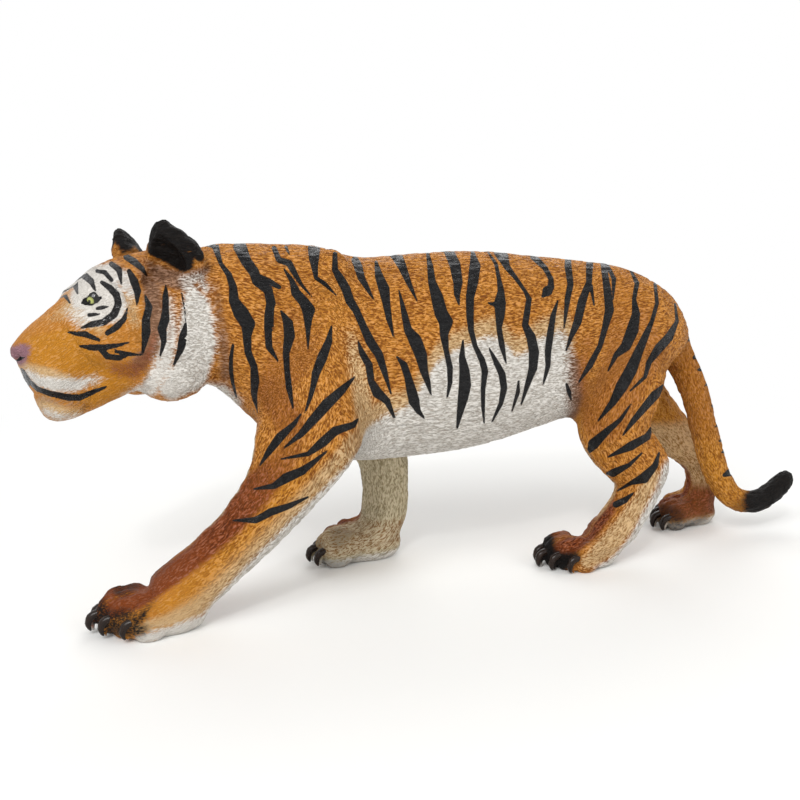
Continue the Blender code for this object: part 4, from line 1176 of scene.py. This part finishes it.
    def paint(self, skin: Piece) -> None:
        """Stores stripes, fields and grain on the skin's vertices."""
        mesh = skin.data
        tracing = Tracing(self.camera, self.head, vertex_places(mesh))
        painter = CoatPainter(tracing, vertex_normals(mesh))
        stripe = mesh.attributes.new("stripe", "FLOAT", "POINT")
        stripe.data.foreach_set("value", painter.stripe_distance())
        zones = {zone: painter.zone(zone) for zone in Zone}
        calm = painter.calm_face()
        layers = (
            (zones[Zone.PALE], zones[Zone.RUST], zones[Zone.GOLD]),
            (zones[Zone.DARK], zones[Zone.PINK], zones[Zone.PALE_IN_SHADE]),
            (zones[Zone.PAINTED_SHADE], zones[Zone.CREAM], calm),
        )
        vectors = {name: np.stack(layer, axis=1) for name, layer in zip(FIELD_LAYERS, layers)}
        vectors["grain"] = tracing.grain()
        for name, values in vectors.items():
            layer = mesh.attributes.new(name, "FLOAT_VECTOR", "POINT")
            layer.data.foreach_set("vector", values.ravel())


@dataclass(frozen=True)
class EyeEnamel:
    """Gloss enamel on an eyeball: black, with a yellow-green iris and a black pupil."""

    ball: str = "#0C0A09"
    iris: str = "#A9AE62"
    iris_rim: str = "#4A4A20"
    pupil: str = "#060505"
    iris_radius_mm: float = 1.25
    pupil_radius_mm: float = 0.48
    rim_mm: float = 0.35
    edge_mm: float = 0.10
    fleck_mm: float = 0.5
    roughness: float = 0.12

    def build(self, name: str, iris_centre: Vector, pupil_centre: Vector) -> bpy.types.Material:
        """Makes the material.

        Args:
            name: the material's name.
            iris_centre: the middle of the iris, in metres.
            pupil_centre: the middle of the pupil, in metres.

        Returns:
            The finished material.
        """
        made = bpy.data.materials.new(name)
        made.use_nodes = True
        tree = made.node_tree
        shader = tree.nodes["Principled BSDF"]
        spot = add_node(tree, "ShaderNodeTexCoord").outputs["Object"]

        def disc(centre: Vector, radius: float) -> Socket:
            """1 inside a disc around a point of the surface, 0 outside."""
            gap = add_node(tree, "ShaderNodeVectorMath", {"operation": "DISTANCE"}, {0: spot, 1: centre})
            return ease(tree, gap.outputs["Value"], (radius + self.edge_mm) * MM,
                        (radius - self.edge_mm) * MM)

        flecks = add_node(tree, "ShaderNodeTexNoise", None,
                          {"Vector": spot, "Scale": 1 / (self.fleck_mm * MM)})
        iris = mix_colours(tree, flecks.outputs["Fac"], hex_colour(self.iris_rim), hex_colour(self.iris))
        iris = mix_colours(tree, disc(iris_centre, self.iris_radius_mm - self.rim_mm), iris,
                           hex_colour(self.iris))
        ball = mix_colours(tree, disc(iris_centre, self.iris_radius_mm), hex_colour(self.ball), iris)
        ball = mix_colours(tree, disc(pupil_centre, self.pupil_radius_mm), ball, hex_colour(self.pupil))
        tree.links.new(ball, shader.inputs["Base Color"])
        shader.inputs["Roughness"].default_value = self.roughness
        return made


@dataclass
class Eyes:
    """Both eyeballs, set in the solid's sockets. Lengths in millimetres, pixels of the photograph."""

    radius: float = 3.16
    near_pixel: tuple[float, float] = (90.6, 300.9)
    spread_px: float = 2.0
    iris_ahead: float = 0.12
    pupil_ahead: float = 0.24

    def build(self, camera: PhotoCamera, head: HeadPlane) -> list[Piece]:
        """Builds the eyeballs.

        Args:
            camera: the photograph's camera.
            head: the head's mirror plane.

        Returns:
            The left and the right eyeball.
        """
        centre, front = self.near_eye(camera)
        ahead, left = (Vector(axis) for axis in head.axes()[:2])
        pivot = Vector(head.pivot)
        made = []
        for name, mirrored in (("left_eyeball", False), ("right_eyeball", True)):
            middle, gaze = centre.copy(), front.copy()
            if mirrored:
                middle -= 2 * (middle - pivot).dot(left) * left
                gaze -= 2 * gaze.dot(left) * left
            made.append(self.ball(name, middle, gaze, ahead))
        return made

    def near_eye(self, camera: PhotoCamera) -> tuple[Vector, Vector]:
        """The near eyeball's middle, and the direction out of its socket."""
        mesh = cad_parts[NODE].data
        tree = BVHTree.FromPolygons([v.co for v in mesh.vertices], [p.vertices for p in mesh.polygons])
        centres, outs = [], []
        for across, down in ((0, 0), (1, 0), (-1, 0), (0, 1), (0, -1)):
            aim = camera.ray(self.near_pixel[0] + across * self.spread_px,
                             self.near_pixel[1] + down * self.spread_px)
            spot, normal = tree.ray_cast(Vector(camera.place), aim)[:2]
            centres.append(spot - normal * self.radius * MM)
            outs.append(normal)
        count = len(centres)
        return sum(centres, Vector()) / count, (sum(outs, Vector()) / count).normalized()

    def ball(self, name: str, middle: Vector, out: Vector, ahead: Vector) -> Piece:
        """One eyeball, with its pole along its gaze.

        Args:
            name: the piece's name.
            middle: the middle of the ball.
            out: the direction out of the socket.
            ahead: the head's direction, which iris and pupil lie towards.

        Returns:
            The eyeball.
        """
        deselect_all()
        turn = out.to_track_quat("Z", "Y").to_euler()
        bpy.ops.mesh.primitive_uv_sphere_add(segments=48, ring_count=32, radius=self.radius * MM,
                                             location=middle, rotation=turn)
        ball = bpy.context.object
        ball.name = name
        bpy.ops.object.shade_smooth()
        apply_place(ball)
        iris, pupil = (middle + (out + ahead * share).normalized() * self.radius * MM
                       for share in (self.iris_ahead, self.pupil_ahead))
        ball.data.materials.append(EyeEnamel().build(f"gloss_enamel_{name}", iris, pupil))
        return ball


@dataclass(frozen=True)
class Paw:
    """One paw's place and size, in millimetres, as in the solid."""

    name: str
    x: float
    y: float
    length: float
    width: float
    height: float


PAWS = (
    Paw("left_fore", -106.3, -19.25, 33.8, 20.5, 14.0),
    Paw("right_fore", -31.1, 19.25, 33.8, 20.5, 14.0),
    Paw("left_hind", 41.3, -13.75, 28.0, 19.0, 12.2),
    Paw("right_hind", 102.3, 13.75, 28.0, 19.0, 12.2),
)

# Toes in shares of the paw's length, width and height; the leads run from the outer toe to the inner
TOE_LEADS = (0.05, 0.22, 0.32, 0.27)
TOE_HALF_LENGTH = 0.17
TOE_SPREAD = 0.36
CLAW_HEIGHT = 0.50


@dataclass(frozen=True)
class ClawLacquer:
    """Gloss black lacquer on moulded claws, worn browner at the root."""

    colour: str = "#0E0A08"
    root: str = "#2A1A10"
    cloud_mm: float = 1.5
    roughness: float = 0.26
    shine: float = 0.26

    def build(self) -> bpy.types.Material:
        """Makes the material."""
        made = bpy.data.materials.new("gloss_black_claw_lacquer")
        made.use_nodes = True
        tree = made.node_tree
        shader = tree.nodes["Principled BSDF"]
        spot = add_node(tree, "ShaderNodeTexCoord").outputs["Object"]
        cloud = add_node(tree, "ShaderNodeTexNoise", None,
                         {"Vector": spot, "Scale": 1 / (self.cloud_mm * MM)})
        tone = mix_colours(tree, cloud.outputs["Fac"], hex_colour(self.colour), hex_colour(self.root))
        tree.links.new(tone, shader.inputs["Base Color"])
        shader.inputs["Roughness"].default_value = self.roughness
        shader.inputs["Specular IOR Level"].default_value = self.shine
        return made


@dataclass
class Claws:
    """The hooked claws of all paws. Lengths in millimetres."""

    length: float = 6.0
    root_radius: float = 1.35
    rings: int = 9
    sides: int = 16
    hook: Rows = ((-0.75, 0.02, 0.90), (-0.38, -0.08, 1.00), (-0.02, -0.18, 1.00), (0.15, -0.46, 0.88),
                  (0.14, -0.75, 0.62), (0.06, -0.94, 0.22))

    def build(self) -> list[Piece]:
        """Builds the claws of each paw.

        Returns:
            One object for each paw, holding its claws.
        """
        lacquer = ClawLacquer().build()
        model = self.model()
        made = []
        for paw in PAWS:
            claws = [self.place(model, paw, i) for i in range(len(TOE_LEADS))]
            deselect_all()
            for claw in claws:
                claw.select_set(True)
            bpy.context.view_layer.objects.active = claws[0]
            bpy.ops.object.join()
            joined = bpy.context.object
            joined.name = f"{paw.name}_claws"
            bpy.ops.object.shade_smooth()
            joined.data.materials.append(lacquer)
            made.append(joined)
        choose(model)
        bpy.ops.object.delete()
        return made

    def model(self) -> Piece:
        """One claw at the origin, grown ring by ring from its root, hooked down from +X to -Z."""
        hook = np.array(self.hook)
        deselect_all()
        bpy.ops.mesh.primitive_circle_add(vertices=self.sides, radius=self.root_radius * MM,
                                          fill_type="NGON")
        claw = bpy.context.object
        bpy.ops.object.mode_set(mode="EDIT")
        bpy.ops.mesh.select_all(action="SELECT")
        size = 1.0
        for ring in range(1, self.rings + 1):
            wanted = np.interp(ring / self.rings, np.linspace(0, 1, len(hook)), hook[:, 2])
            bpy.ops.mesh.extrude_region_move(TRANSFORM_OT_translate={"value": (0, 0, MM)})
            bpy.ops.transform.resize(value=(wanted / size, wanted / size, 1))
            size = wanted
        bpy.ops.object.mode_set(mode="OBJECT")
        for vertex in claw.data.vertices:
            share = vertex.co.z / (self.rings * MM) * (len(hook) - 1)
            low = min(int(share), len(hook) - 2)
            first, last = hook[max(low - 1, 0)], hook[min(low + 2, len(hook) - 1)]
            spot = hook[low] + (hook[low + 1] - hook[low]) * (share - low)
            along = Vector((last[0] - first[0], 0, last[1] - first[1])).normalized()
            above = along.cross(Vector((0, 1, 0)))
            vertex.co = (Vector((spot[0], 0, spot[1])) * self.length * MM
                         + Vector((0, vertex.co.y, 0)) + above * vertex.co.x)
        choose(claw)
        bpy.ops.object.mode_set(mode="EDIT")
        bpy.ops.mesh.select_all(action="SELECT")
        bpy.ops.mesh.normals_make_consistent(inside=False)
        bpy.ops.object.mode_set(mode="OBJECT")
        return claw

    def place(self, model: Piece, paw: Paw, index: int) -> Piece:
        """A copy of the claw at the tip of one toe.

        Args:
            model: the claw at the origin.
            paw: the paw it belongs to.
            index: the toe's number, from the outer one.

        Returns:
            The copy, with its place in its mesh.
        """
        claw = model.copy()
        claw.data = model.data.copy()
        bpy.context.scene.collection.objects.link(claw)
        half = (len(TOE_LEADS) - 1) / 2
        side = math.copysign(1, paw.y)
        claw.rotation_euler = (0, 0, math.pi)
        claw.location = (
            (paw.x - (TOE_LEADS[index] + TOE_HALF_LENGTH) * paw.length) * MM,
            (paw.y + side * (half - index) / half * paw.width * TOE_SPREAD) * MM,
            paw.height * CLAW_HEIGHT * MM,
        )
        apply_place(claw)
        return claw


@dataclass(frozen=True)
class Lamp:
    """A square area lamp: its place and size in metres, and its power in watts."""

    name: str
    place: tuple[float, float, float]
    size: float
    power: float


LAMPS = (
    Lamp("key", (-0.75, -0.75, 0.95), 0.7, 9.5),
    Lamp("fill", (0.75, -0.85, 0.55), 0.9, 3.2),
    Lamp("rim", (0.35, 0.8, 0.8), 0.8, 4.0),
    Lamp("glint", (-0.45, -0.7, 0.75), 0.07, 1.2),
)
LAMPS_AIM = (0.0, 0.0, 0.06)


@dataclass
class Studio:
    """Plain pale floor, soft light and a white surround. Lengths in metres."""

    floor_size: float = 6.0
    clear_from: float = 0.12
    clear_to: float = 0.34
    world_strength: float = 0.62
    floor_colour: str = "#F2F2F0"
    floor_roughness: float = 0.9

    def build(self) -> None:
        """Adds floor, lamps and world, and sets the view."""
        self.floor()
        for lamp in LAMPS:
            self.hang(lamp)
        self.world()
        bpy.context.scene.view_settings.view_transform = "Standard"

    def hang(self, lamp: Lamp) -> None:
        """Adds one lamp, turned towards the figure."""
        deselect_all()
        turn = (Vector(LAMPS_AIM) - Vector(lamp.place)).to_track_quat("-Z", "Y").to_euler()
        bpy.ops.object.light_add(type="AREA", location=lamp.place, rotation=turn)
        made = bpy.context.object
        made.name = f"{lamp.name}_lamp"
        made.data.size = lamp.size
        made.data.energy = lamp.power

    def floor(self) -> None:
        """Adds the floor, which keeps the shadow near the figure and turns plain white far off."""
        deselect_all()
        bpy.ops.mesh.primitive_plane_add(size=self.floor_size, location=(0, 0, 0))
        floor = bpy.context.object
        floor.name = "floor"
        made = bpy.data.materials.new("matt_white_floor")
        made.use_nodes = True
        tree = made.node_tree
        shader, output = tree.nodes["Principled BSDF"], tree.nodes["Material Output"]
        shader.inputs["Base Color"].default_value = hex_colour(self.floor_colour)
        shader.inputs["Roughness"].default_value = self.floor_roughness
        spot = add_node(tree, "ShaderNodeTexCoord").outputs["Object"]
        far = add_node(tree, "ShaderNodeVectorMath", {"operation": "LENGTH"}, {0: spot})
        share = ease(tree, far.outputs["Value"], self.clear_from, self.clear_to)
        both = calculate(tree, "MULTIPLY", share, self.seen(tree))
        white = add_node(tree, "ShaderNodeEmission", None, {"Color": (1, 1, 1, 1), "Strength": 1.0})
        mixed = add_node(tree, "ShaderNodeMixShader", None,
                         {0: both, 1: shader.outputs[0], 2: white.outputs[0]})
        tree.links.new(mixed.outputs[0], output.inputs["Surface"])
        floor.data.materials.append(made)

    def seen(self, tree: Tree) -> Socket:
        """1 for camera, glossy and transmission rays."""
        path = add_node(tree, "ShaderNodeLightPath")
        total = calculate(tree, "ADD", path.outputs["Is Camera Ray"], path.outputs["Is Glossy Ray"])
        return calculate(tree, "ADD", total, path.outputs["Is Transmission Ray"])

    def world(self) -> None:
        """White surround for the camera, plain soft light for the figure."""
        world = bpy.data.worlds.new("white_surround")
        world.use_nodes = True
        bpy.context.scene.world = world
        tree = world.node_tree
        background = tree.nodes["Background"]
        background.inputs["Color"].default_value = (1, 1, 1, 1)
        strength = spread(tree, self.seen(tree), self.world_strength, 1.0)
        tree.links.new(strength, background.inputs["Strength"])


def settle(piece: Piece) -> None:
    """Sets a piece to ride on the figure's body, in place of the solid node, which is hidden."""
    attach(piece, BODY)
    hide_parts(NODE)
    LOG.info("placed %s", piece.name)


def main() -> None:
    """Builds the studio, the camera and every piece of the figure."""
    logging.basicConfig(level=logging.INFO)
    camera, head = PhotoCamera(), HeadPlane()
    camera.build()
    Studio().build()
    skin = MouldedSkin(camera, head).build()
    eyes = Eyes().build(camera, head)
    claws = Claws().build()
    for piece in (skin, *eyes, *claws):
        settle(piece)


if __name__ == "__main__":
    main()
